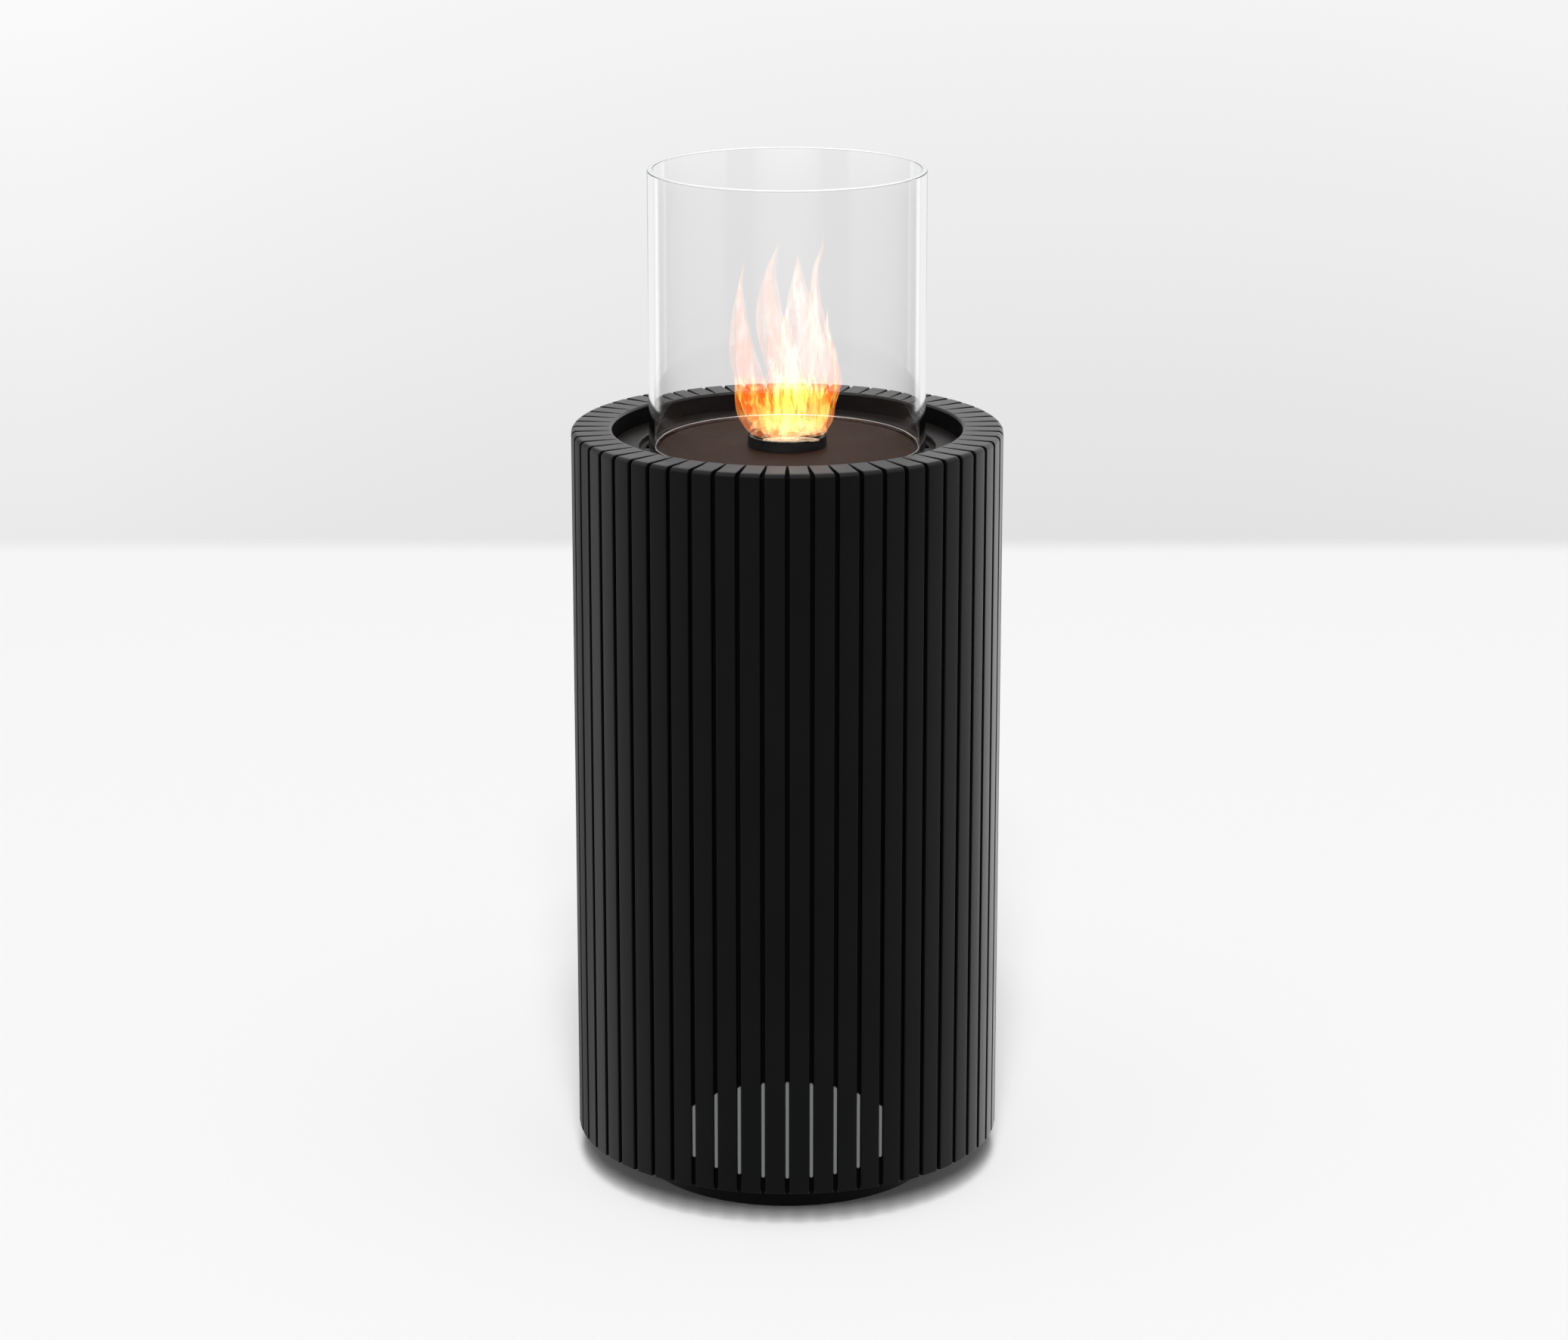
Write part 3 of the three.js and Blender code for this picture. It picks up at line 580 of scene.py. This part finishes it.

# ---------------------------------------------------------------- burner plate
# A pressed steel disc that closes the tray inside the glass, in heat-resistant paint that the flame has baked
# brown; the brown is also painted warm light from the flame. The burner hangs in the hole at its middle.

# Steel, heat-resistant paint baked by the flame: a dry brown-black, a little blotchy, with 0.6 mm grit. The
# brown is partly the paint's own heat tint and partly painted warm light from the flame.
heat_paint_and_painted_warmth, tree, surface = new_finish("heat_paint_with_painted_flame_warmth")
place = add(tree, "ShaderNodeTexCoord", {})
blotch = add(tree, "ShaderNodeTexNoise", {"Scale": 14, "Detail": 5, "Roughness": 0.55},
             {"Vector": place.outputs["Object"]})
grit = add(tree, "ShaderNodeTexNoise", {"Scale": 1600, "Detail": 1}, {"Vector": place.outputs["Object"]})
tone = add(tree, "ShaderNodeMixRGB", {"Color1": linear("#2a1b14"), "Color2": linear("#32221a")},
           {"Fac": blotch.outputs["Fac"]})
dullness = add(tree, "ShaderNodeMapRange", {"To Min": 0.5, "To Max": 0.66}, {"Value": blotch.outputs["Fac"]})
relief = add(tree, "ShaderNodeBump", {"Strength": 0.25, "Distance": 0.0001}, {"Height": grit.outputs["Fac"]})
tree.links.new(tone.outputs["Color"], surface.inputs["Base Color"])
tree.links.new(dullness.outputs["Result"], surface.inputs["Roughness"])
tree.links.new(relief.outputs["Normal"], surface.inputs["Normal"])
surface.inputs["Specular IOR Level"].default_value = 0.1

plate_top, plate_thickness, plate_radius, plate_hole = 699.5, 3, 118.8, 34
fitted("burner_disc", turned("burner_disc", rounded([
    (plate_radius, plate_top - plate_thickness, 0.5),
    (plate_radius, plate_top, 1),
    (plate_hole, plate_top, 0.6),
    (plate_hole, plate_top - plate_thickness, 0.5),
])), heat_paint_and_painted_warmth, "plate", "heat_black", "burner_plate")

# ---------------------------------------------------------------- burner
# A fuel can of deep-drawn stainless steel, filled with absorbent ceramic wool under a perforated
# grid. A turned collar, coated matt black, sits on the plate and carries the can by its flange.

collar_low, collar_high, collar_outside, collar_inside = 699.8, 710.0, 36.5, 33.4
seat_height, seat_radius = 707.4, 35.4
fitted("collar", turned("collar", rounded([
    (collar_outside, collar_low, 0.3),
    (collar_outside, collar_high, 1.2),
    (seat_radius, collar_high, 0.4),
    (seat_radius, seat_height),
    (collar_inside, seat_height),
    (collar_inside, collar_low),
])), matt_coat, "burner", "heat_black", "burner_collar")

# Stainless steel that the flame has tinted: a dull brown metal, cloudy over some 8 mm.
scorched_steel, tree, surface = new_finish("heat_tinted_stainless_steel")
place = add(tree, "ShaderNodeTexCoord", {})
tint = add(tree, "ShaderNodeTexNoise", {"Scale": 120, "Detail": 3}, {"Vector": place.outputs["Object"]})
tone = add(tree, "ShaderNodeMixRGB", {"Color1": linear("#4a3c32"), "Color2": linear("#6e5f54")},
           {"Fac": tint.outputs["Fac"]})
tree.links.new(tone.outputs["Color"], surface.inputs["Base Color"])
surface.inputs["Metallic"].default_value = 1.0
surface.inputs["Roughness"].default_value = 0.45

can_low, can_high, can_radius, can_wall, can_flange = 614.2, 709.2, 33, 1.5, 35
fitted("fuel_can", turned("fuel_can", rounded([
    (0, can_low),
    (can_radius, can_low, 4),
    (can_radius, can_high - can_wall, 0.4),
    (can_flange, can_high - can_wall, 0.4),
    (can_flange, can_high, 0.5),
    (can_radius - can_wall, can_high, 0.8),
    (can_radius - can_wall, can_low + can_wall, 3),
    (0, can_low + can_wall),
]), 96), scorched_steel, "burner", "bright_steel", "burner_can")

# Ceramic wool, matted fibre: scorched to a dull brown, in tufts about 3 mm across. The noise that raises the
# tufts also darkens the hollows between them, which is painted shade.
wool, tree, surface = new_finish("ceramic_wool")
place = add(tree, "ShaderNodeTexCoord", {})
tuft = add(tree, "ShaderNodeTexNoise", {"Scale": 330, "Detail": 5}, {"Vector": place.outputs["Object"]})
tone = add(tree, "ShaderNodeMixRGB", {"Color1": linear("#2e241c"), "Color2": linear("#7d6f60")},
           {"Fac": tuft.outputs["Fac"]})
relief = add(tree, "ShaderNodeBump", {"Strength": 0.6, "Distance": 0.001}, {"Height": tuft.outputs["Fac"]})
tree.links.new(tone.outputs["Color"], surface.inputs["Base Color"])
tree.links.new(relief.outputs["Normal"], surface.inputs["Normal"])
surface.inputs["Roughness"].default_value = 0.95

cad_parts["wick_wool"].data.materials[0] = wool
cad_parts["burner_grid"].data.materials[0] = scorched_steel

# ---------------------------------------------------------------- flame
# Burning ethanol vapour: thin luminous tongues that rise from the can's mouth and lean a little. They
# are orange and yellow low down, pale towards the tips, and everything behind them shows through.

# Each tongue: centre across, centre in depth, height, half width, from its foot to its tip. The pool lies
# over the whole mouth, and the lip is a flat tongue that licks over the mouth's front edge.
tongues = {
    "left": [
        (-13, 2, 711.5, 22), (-23, 4, 724, 20), (-29.5, 6, 738, 17.5), (-35, 8, 758, 14.6), (-40, 9, 776, 14),
        (-43, 9, 792, 12), (-43.9, 9, 822, 6.3), (-43.3, 8, 846, 2.2), (-39.1, 8, 876, 0),
    ],
    "middle_left": [
        (-2, -8, 711.5, 17), (-1, -9, 738, 13), (-4.2, -10, 763, 11.5), (-10.2, -11, 785, 12.2),
        (-14.4, -12, 813, 13), (-16.9, -12, 840, 10), (-14.9, -11, 867, 4.7), (-6.9, -10, 892, 0),
    ],
    "middle_right": [
        (13, 8, 711.5, 20), (20, 9, 738, 20), (17.6, 10, 763, 19), (16, 11, 785, 16.5), (14, 12, 808, 15),
        (12, 12, 831, 11.5), (10, 12, 853, 5.5), (9.8, 11, 878, 0),
    ],
    "right": [
        (24, -4, 711.5, 11), (32, -5, 724, 11), (34.4, -6, 738, 10.5), (36.9, -7, 763, 12.8),
        (33.1, -7, 785, 11), (29.3, -6, 803, 9.5), (26.8, -5, 822, 7.5), (24.7, -4, 849, 4.5),
        (26, -4, 868, 2.6), (31.3, -3, 883, 1.8), (34.2, -3, 905, 0),
    ],
    "back": [(0, 16, 711.5, 14), (4, 20, 738, 15), (2, 20, 770, 11), (-2, 18, 800, 6), (0, 17, 826, 0)],
    "front": [
        (-4, -12, 711.5, 17), (-9, -17, 724, 15), (-13, -16, 740, 14), (-14, -15, 753, 13),
        (-13, -14, 766, 8), (-12, -14, 782, 0),
    ],
    "pool": [(0, 1, 711.5, 34), (0, 1, 713, 34), (0, 2, 716, 32), (0, 4, 721, 26), (0, 5, 727, 0)],
    "lip": [(3, -23, 709.3, 27), (3, -23, 709.9, 27), (3, -23, 710.5, 24), (3, -23, 711, 0)],
    "right_wisp": [
        (44, 0, 752, 2.5), (45, 0, 765, 3.2), (42, 1, 785, 3.6), (37.1, 2, 808, 1.8), (37.1, 2, 828, 0),
    ],
}
flame_sides, flame_steps, skin_scales, lip_flatness = 28, 44, (1, 0.55), 0.32


def between(points, share):
    """A point on the smooth curve through a tongue's points, share from 0 at its foot to 1 at its tip."""
    last = len(points) - 1
    index = min(int(share * last), last - 1)
    t = share * last - index
    a, b, c, d = (Vector(points[max(0, min(last, index + offset))]) for offset in (-1, 0, 1, 2))
    bend, swing = 2 * a - 5 * b + 4 * c - d, 3 * b - 3 * c + d - a
    return 0.5 * ((2 * b) + (c - a) * t + bend * t * t + swing * t ** 3)


def flame_skins(name, points, seed, flatness):
    """Two nested open skins of one tongue, each with its own slow waves."""
    dice = random.Random(seed)
    shape = bmesh.new()
    for scale in skin_scales:
        phases = [dice.uniform(0, 2 * math.pi) for _ in range(4)]
        rings = []
        for step in range(flame_steps):
            x, y, z, half = between(points, step / flame_steps)
            half = max(half, 0.05) * scale
            ring = []
            for side in range(flame_sides):
                angle = 2 * math.pi * side / flame_sides
                broad_wave = 0.06 * math.sin(2 * angle + z / 21 + phases[0])
                narrow_wave = 0.05 * math.sin(3 * angle - z / 13 + phases[1])
                reach = half * (1 + broad_wave + narrow_wave)
                drift = (1 - scale) * half / scale * 0.5 * math.sin(z / 17 + phases[2])
                ring.append(shape.verts.new((
                    (x + drift + reach * math.cos(angle)) / 1000,
                    (y + reach * flatness * math.sin(angle)) / 1000,
                    z / 1000,
                )))
            rings.append(ring)
        x, y, z = points[-1][:3]
        tip = shape.verts.new((x / 1000, y / 1000, z / 1000))
        for low, high in zip(rings, rings[1:]):
            for side in range(flame_sides):
                following = (side + 1) % flame_sides
                shape.faces.new((low[side], low[following], high[following], high[side]))
        for side in range(flame_sides):
            shape.faces.new((rings[-1][side], rings[-1][(side + 1) % flame_sides], tip))
    return finished(name, shape, 80)


# Burning vapour: light of its own and no surface. It is cream at the mouth, orange with yellow streaks
# above that, and from about 760 mm up a thin pale veil with cream streaks that fades to the tips. Streaks
# are some 8 mm wide and four times as tall, and densest round the middle and near the mouth.
flame_light, tree, surface = new_finish("burning_ethanol_vapour")
place = add(tree, "ShaderNodeTexCoord", {})
apart = add(tree, "ShaderNodeSeparateXYZ", {}, {"Vector": place.outputs["Object"]})
stretched = add(tree, "ShaderNodeMapping", {"Scale": (1, 1, 0.25)}, {"Vector": place.outputs["Object"]})
streaks = add(tree, "ShaderNodeTexNoise", {"Scale": 130, "Detail": 3, "Distortion": 0.7},
              {"Vector": stretched.outputs["Vector"]})
aside = add(tree, "ShaderNodeMath", {"operation": "SUBTRACT", 1: 0.011}, {0: apart.outputs["X"]})
off_middle = add(tree, "ShaderNodeMath", {"operation": "ABSOLUTE"}, {0: aside.outputs["Value"]})
core = add(tree, "ShaderNodeMapRange",
           {"From Min": 0.03, "From Max": 0.006, "To Max": 0.09, "interpolation_type": "SMOOTHSTEP"},
           {"Value": off_middle.outputs["Value"]})
mouth = add(tree, "ShaderNodeMapRange",
            {"From Min": 0.744, "From Max": 0.728, "To Max": 0.025, "interpolation_type": "SMOOTHSTEP"},
            {"Value": apart.outputs["Z"]})
inner = add(tree, "ShaderNodeMath", {"operation": "ADD"},
            {0: core.outputs["Result"], 1: mouth.outputs["Result"]})
hotter = add(tree, "ShaderNodeMath", {"operation": "ADD"},
             {0: streaks.outputs["Fac"], 1: inner.outputs["Value"]})
streak = add(tree, "ShaderNodeMapRange",
             {"From Min": 0.52, "From Max": 0.62, "interpolation_type": "SMOOTHSTEP"},
             {"Value": hotter.outputs["Value"]})
heights = add(tree, "ShaderNodeMapRange", {"From Min": 0.705, "From Max": 0.905},
              {"Value": apart.outputs["Z"]})
body_tone = add(tree, "ShaderNodeValToRGB", {}, {"Fac": heights.outputs["Result"]})
streak_tone = add(tree, "ShaderNodeValToRGB", {}, {"Fac": heights.outputs["Result"]})

# Both ramps run from 705 to 905 mm. Each stop: how far up, its colour, how dense the vapour is there
body_stops = (
    (0, "#ffe2bc", 1), (0.03, "#ffdcb4", 1), (0.036, "#ff8848", 0.6), (0.09, "#ff7c38", 0.7),
    (0.15, "#ff7020", 0.85), (0.2, "#ff6818", 1), (0.255, "#ff6a14", 1), (0.285, "#ff823e", 0.28),
    (0.475, "#ff8a4c", 0.28), (0.675, "#ff9a60", 0.26), (1, "#ffaa7c", 0.06),
)
streak_stops = (
    (0, "#ffe8c8", 1), (0.06, "#ffc070", 1), (0.2, "#ffd858", 1), (0.26, "#ffdc90", 1),
    (0.3, "#ffdcc4", 1), (0.6, "#ffdccc", 1), (1, "#ffc8a8", 1),
)
for ramp, stops in ((body_tone.color_ramp, body_stops), (streak_tone.color_ramp, streak_stops)):
    for height, colour, density in stops[1:-1]:
        ramp.elements.new(height).color = (*linear(colour)[:3], density)
    for end in (0, -1):
        ramp.elements[end].color = (*linear(stops[end][1])[:3], stops[end][2])
tone = add(tree, "ShaderNodeMixRGB", {}, {
    "Fac": streak.outputs["Result"],
    "Color1": body_tone.outputs["Color"],
    "Color2": streak_tone.outputs["Color"],
})

# How much each skin veils what stands behind it. What mirrors the flame shows it much fainter
gust = add(tree, "ShaderNodeMapRange", {"To Min": 0.065, "To Max": 0.095},
           {"Value": streak.outputs["Result"]})
path = add(tree, "ShaderNodeLightPath", {})
turns = add(tree, "ShaderNodeMath", {"operation": "SUBTRACT"},
            {0: path.outputs["Ray Depth"], 1: path.outputs["Transmission Depth"]})
mirrored = add(tree, "ShaderNodeMapRange", {"To Min": 1.0, "To Max": 0.15},
               {"Value": turns.outputs["Value"]})
thickness = add(tree, "ShaderNodeMath", {"operation": "MULTIPLY"},
                {0: gust.outputs["Result"], 1: mirrored.outputs["Result"]})
veil = add(tree, "ShaderNodeMath", {"operation": "MULTIPLY"},
           {0: body_tone.outputs["Alpha"], 1: thickness.outputs["Value"]})
tree.links.new(tone.outputs["Color"], surface.inputs["Emission Color"])
tree.links.new(veil.outputs["Value"], surface.inputs["Alpha"])
surface.inputs["Base Color"].default_value = (0, 0, 0, 1)
surface.inputs["Specular IOR Level"].default_value = 0.0
surface.inputs["Roughness"].default_value = 1.0
surface.inputs["Emission Strength"].default_value = 5.3
flame_light.cycles.emission_sampling = "NONE"

# A flame throws no shadow, and what it lights gets that from the two flame lights below
for number, (name, points) in enumerate(tongues.items()):
    flatness = lip_flatness if name == "lip" else 1
    skins = flame_skins(f"flame_{name}", points, number, flatness)
    flame = fitted(f"flame_{name}", skins, flame_light, "burner", "ceramic_wool")
    flame.visible_shadow = flame.visible_diffuse = flame.visible_glossy = False

# ---------------------------------------------------------------- floor and background
# A pale matt floor that ends in a straight line behind the column, in front of a plain pale wall.

floor_side, floor_front, floor_back = 12, -14, 2.5
floor_mesh = bpy.data.meshes.new("studio_floor")
floor_mesh.from_pydata([
    (-floor_side, floor_front, 0),
    (floor_side, floor_front, 0),
    (floor_side, floor_back, 0),
    (-floor_side, floor_back, 0),
], [], [(0, 1, 2, 3)])
studio_floor = bpy.data.objects.new("studio_floor", floor_mesh)
bpy.context.scene.collection.objects.link(studio_floor)

# The coats and the glass mirror the room, not the floor
studio_floor.visible_glossy = studio_floor.visible_transmission = False

# Painted floor, matt white. It fades into the wall over its last centimetres.
floor_paint, tree, surface = new_finish("matt_white_floor_paint")
place = add(tree, "ShaderNodeTexCoord", {})
apart = add(tree, "ShaderNodeSeparateXYZ", {}, {"Vector": place.outputs["Object"]})
fade = add(tree, "ShaderNodeMapRange", {
    "From Min": 2.35, "From Max": 2.47, "To Min": 1.0, "To Max": 0.0, "interpolation_type": "SMOOTHSTEP",
}, {"Value": apart.outputs["Y"]})
tree.links.new(fade.outputs["Result"], surface.inputs["Alpha"])
surface.inputs["Base Color"].default_value = linear("#f4f4f4")
surface.inputs["Roughness"].default_value = 0.9
surface.inputs["Specular IOR Level"].default_value = 0.0
floor_mesh.materials.append(floor_paint)

# The studio round it. Seen directly or straight through the glass it is one plain wall, pale grey at
# the floor and lighter upwards and towards its far sides.
world = bpy.data.worlds.new("studio")
bpy.context.scene.world = world
world.use_nodes = True
tree = world.node_tree
sky = tree.nodes["Background"]
place = add(tree, "ShaderNodeTexCoord", {})
apart = add(tree, "ShaderNodeSeparateXYZ", {}, {"Vector": place.outputs["Generated"]})
rising = add(tree, "ShaderNodeMapRange",
             {"From Min": -0.245, "From Max": -0.115, "To Min": 0.755, "To Max": 0.90},
             {"Value": apart.outputs["Z"]})
shift = add(tree, "ShaderNodeMath", {"operation": "SUBTRACT", 1: 0.07}, {0: apart.outputs["X"]})
square = add(tree, "ShaderNodeMath", {"operation": "MULTIPLY"},
             {0: shift.outputs["Value"], 1: shift.outputs["Value"]})
edges = add(tree, "ShaderNodeMapRange", {"From Max": 0.0548, "To Max": 0.06},
            {"Value": square.outputs["Value"]})
plain_wall = add(tree, "ShaderNodeMath", {"operation": "ADD"},
                 {0: rising.outputs["Result"], 1: edges.outputs["Result"]})

# What the pieces mirror is a room that is dim behind the photographer and pale behind the column, with a
# pale strip and a dark one on the left. The glass mirrors other things: bright strips beside the column,
# and tall pale panels. Brightness by how far round it lies, from 0 behind the photographer to 1 behind
# the column; panel_height has the panels' brightness from low down (0) to high up (1).
turn = add(tree, "ShaderNodeMapRange", {"From Min": -1.0}, {"Value": apart.outputs["Y"]})
right_side = add(tree, "ShaderNodeValToRGB", {}, {"Fac": turn.outputs["Result"]})
left_side = add(tree, "ShaderNodeValToRGB", {}, {"Fac": turn.outputs["Result"]})
in_glass = add(tree, "ShaderNodeValToRGB", {}, {"Fac": turn.outputs["Result"]})
panels = add(tree, "ShaderNodeValToRGB", {}, {"Fac": turn.outputs["Result"]})
level = add(tree, "ShaderNodeMapRange", {"From Min": -0.22, "From Max": -0.02},
            {"Value": apart.outputs["Z"]})
panel_height = add(tree, "ShaderNodeValToRGB", {}, {"Fac": level.outputs["Result"]})
for ramp, stops in (
    (panels.color_ramp, (
        (0, 1.9), (0.02, 1.65), (0.058, 1.0), (0.074, 0.24), (0.2, 0.2), (0.225, 1.2), (0.43, 1.15),
        (0.62, 1.0), (0.735, 0.8), (0.8, 0.7), (0.85, 0), (1, 0))),
    (panel_height.color_ramp, (
        (0, 0), (0.063, 0), (0.09, 0.25), (0.175, 0.385), (0.28, 0.385), (0.33, 1), (0.45, 1),
        (0.7, 0), (1, 0))),
    (right_side.color_ramp, (
        (0, 0.05), (0.245, 0.12), (0.45, 0.22), (0.55, 0.3), (0.665, 0.4), (0.755, 0.56), (0.83, 1.1),
        (0.93, 1.25), (1, 0.95))),
    (left_side.color_ramp, (
        (0, 0.05), (0.245, 0.12), (0.45, 0.22), (0.55, 0.3), (0.665, 0.42), (0.755, 0.7), (0.83, 0.45),
        (0.9, 0.12), (0.95, 0.4), (1, 0.95))),
    (in_glass.color_ramp, (
        (0, 0.01), (0.65, 0.01), (0.77, 0.03), (0.82, 0.15), (0.845, 0.5), (0.855, 1.5), (0.875, 1.4),
        (0.89, 0.9), (0.98, 0.9), (1, 0.5))),
):
    for spot, brightness in stops[1:-1]:
        ramp.elements.new(spot).color = (brightness, brightness, brightness, 1)
    for end in (0, -1):
        ramp.elements[end].color = (*[stops[end][1]] * 3, 1)
side = add(tree, "ShaderNodeMapRange", {"From Min": -0.2, "From Max": 0.2}, {"Value": apart.outputs["X"]})
both_sides = add(tree, "ShaderNodeMixRGB", {}, {
    "Fac": side.outputs["Result"],
    "Color1": left_side.outputs["Color"],
    "Color2": right_side.outputs["Color"],
})
bands = add(tree, "ShaderNodeMath", {"operation": "MULTIPLY_ADD"},
            {0: panels.outputs["Color"], 1: panel_height.outputs["Color"], 2: in_glass.outputs["Color"]})
path = add(tree, "ShaderNodeLightPath", {})
around = add(tree, "ShaderNodeMixRGB", {}, {
    "Fac": path.outputs["Is Singular Ray"],
    "Color1": both_sides.outputs["Color"],
    "Color2": bands.outputs["Value"],
})

# Above that comes a mid-grey ceiling. Matt surfaces get their fill from low down, and light that runs on
# and on inside the glass's wall comes out pale, so that its edges shine.
height = add(tree, "ShaderNodeMapRange",
             {"From Min": 0.35, "From Max": 0.6, "interpolation_type": "SMOOTHSTEP"},
             {"Value": apart.outputs["Z"]})
closed = add(tree, "ShaderNodeMixRGB", {"Color2": (0.5, 0.5, 0.5, 1)},
             {"Fac": height.outputs["Result"], "Color1": around.outputs["Color"]})
low_fill = add(tree, "ShaderNodeMixRGB", {"Color1": (0.55, 0.55, 0.55, 1), "Color2": (0.1, 0.1, 0.1, 1)},
               {"Fac": height.outputs["Result"]})
filled = add(tree, "ShaderNodeMixRGB", {}, {
    "Fac": path.outputs["Is Diffuse Ray"],
    "Color1": closed.outputs["Color"],
    "Color2": low_fill.outputs["Color"],
})
deep = add(tree, "ShaderNodeMapRange", {"From Min": 6.5, "From Max": 7.5},
           {"Value": path.outputs["Ray Depth"]})
edge_light = add(tree, "ShaderNodeMixRGB", {"Color2": (0.8, 0.8, 0.8, 1)},
                 {"Fac": deep.outputs["Result"], "Color1": filled.outputs["Color"]})

# The plain wall is for what is seen directly or straight through the glass, the rest for reflections
# and for the light that falls on matt surfaces
turns = add(tree, "ShaderNodeMath", {"operation": "SUBTRACT"},
            {0: path.outputs["Ray Depth"], 1: path.outputs["Transmission Depth"]})
straight = add(tree, "ShaderNodeMath", {"operation": "ADD"},
               {0: path.outputs["Is Camera Ray"], 1: path.outputs["Is Transmission Ray"]})
lit = add(tree, "ShaderNodeMath", {"operation": "SUBTRACT", "use_clamp": True},
          {0: turns.outputs["Value"], 1: straight.outputs["Value"]})
light = add(tree, "ShaderNodeMixRGB", {}, {
    "Fac": lit.outputs["Value"],
    "Color1": plain_wall.outputs["Value"],
    "Color2": edge_light.outputs["Color"],
})
world.cycles.sampling_method = "NONE"
tree.links.new(light.outputs["Color"], sky.inputs["Color"])

# ---------------------------------------------------------------- lights
# One large soft box overhead, a little in front of the column, and three broad distant lights straight
# in front at rising heights. None of them leaves a lamp-shaped reflection.

box_data = bpy.data.lights.new("overhead_box", "AREA")
box_data.shape, box_data.size, box_data.size_y, box_data.energy = "RECTANGLE", 5.0, 3.0, 20
box = bpy.data.objects.new("overhead_box", box_data)
box.location = (0, -1.3, 4.5)
box.visible_glossy = False
bpy.context.scene.collection.objects.link(box)

for number, elevation in enumerate((36, 48, 60)):
    front_data = bpy.data.lights.new(f"front_light_{number}", "SUN")
    front_data.energy, front_data.angle = 1.12, math.radians(12)
    front_light = bpy.data.objects.new(f"front_light_{number}", front_data)
    front_light.rotation_euler = (math.radians(90 - elevation), 0, 0)
    front_light.visible_glossy = False
    bpy.context.scene.collection.objects.link(front_light)

# The light that the flame throws on what is round it
glow_data = bpy.data.lights.new("flame_glow", "POINT")
glow_data.energy, glow_data.shadow_soft_size, glow_data.color = 0.12, 0.035, linear("#ffdcc8")[:3]
glow = bpy.data.objects.new("flame_glow", glow_data)
glow.location = (0.005, 0, 0.748)
glow.visible_camera = glow.visible_transmission = glow.visible_glossy = False
bpy.context.scene.collection.objects.link(glow)

# The flame as the polished guide ring alone mirrors it
shine_data = bpy.data.lights.new("flame_shine", "POINT")
shine_data.energy, shine_data.shadow_soft_size, shine_data.color = 1.2, 0.05, linear("#ffdcd0")[:3]
shine = bpy.data.objects.new("flame_shine", shine_data)
shine.location = (0, 0, 0.8)
shine.visible_camera = shine.visible_transmission = False
lit_ring = bpy.data.collections.new("lit_ring")
lit_ring.objects.link(guide_ring)
shine.light_linking.receiver_collection = lit_ring
bpy.context.scene.collection.objects.link(shine)

# ---------------------------------------------------------------- camera
# Stands 3.9 m in front and 1.6 m up with a long lens, looking down 15 degrees.

camera_data = bpy.data.cameras.new("camera")
camera_data.sensor_width = 36
camera_data.lens = 99.304
camera_data.shift_x = -0.00207
camera_data.shift_y = -0.0485
camera = bpy.data.objects.new("camera", camera_data)
camera.location = (0, -3.91065, 1.58166)
camera.rotation_euler = (math.pi / 2 - 0.2564, 0, 0)
bpy.context.scene.collection.objects.link(camera)
bpy.context.scene.camera = camera

bpy.context.scene.view_settings.view_transform = "Standard"

# Enough bounces for light to pass all the flame's skins and to run on inside the glass's wall
bpy.context.scene.cycles.transparent_max_bounces = 48
bpy.context.scene.cycles.max_bounces = 24
bpy.context.scene.cycles.transmission_bounces = bpy.context.scene.cycles.glossy_bounces = 20
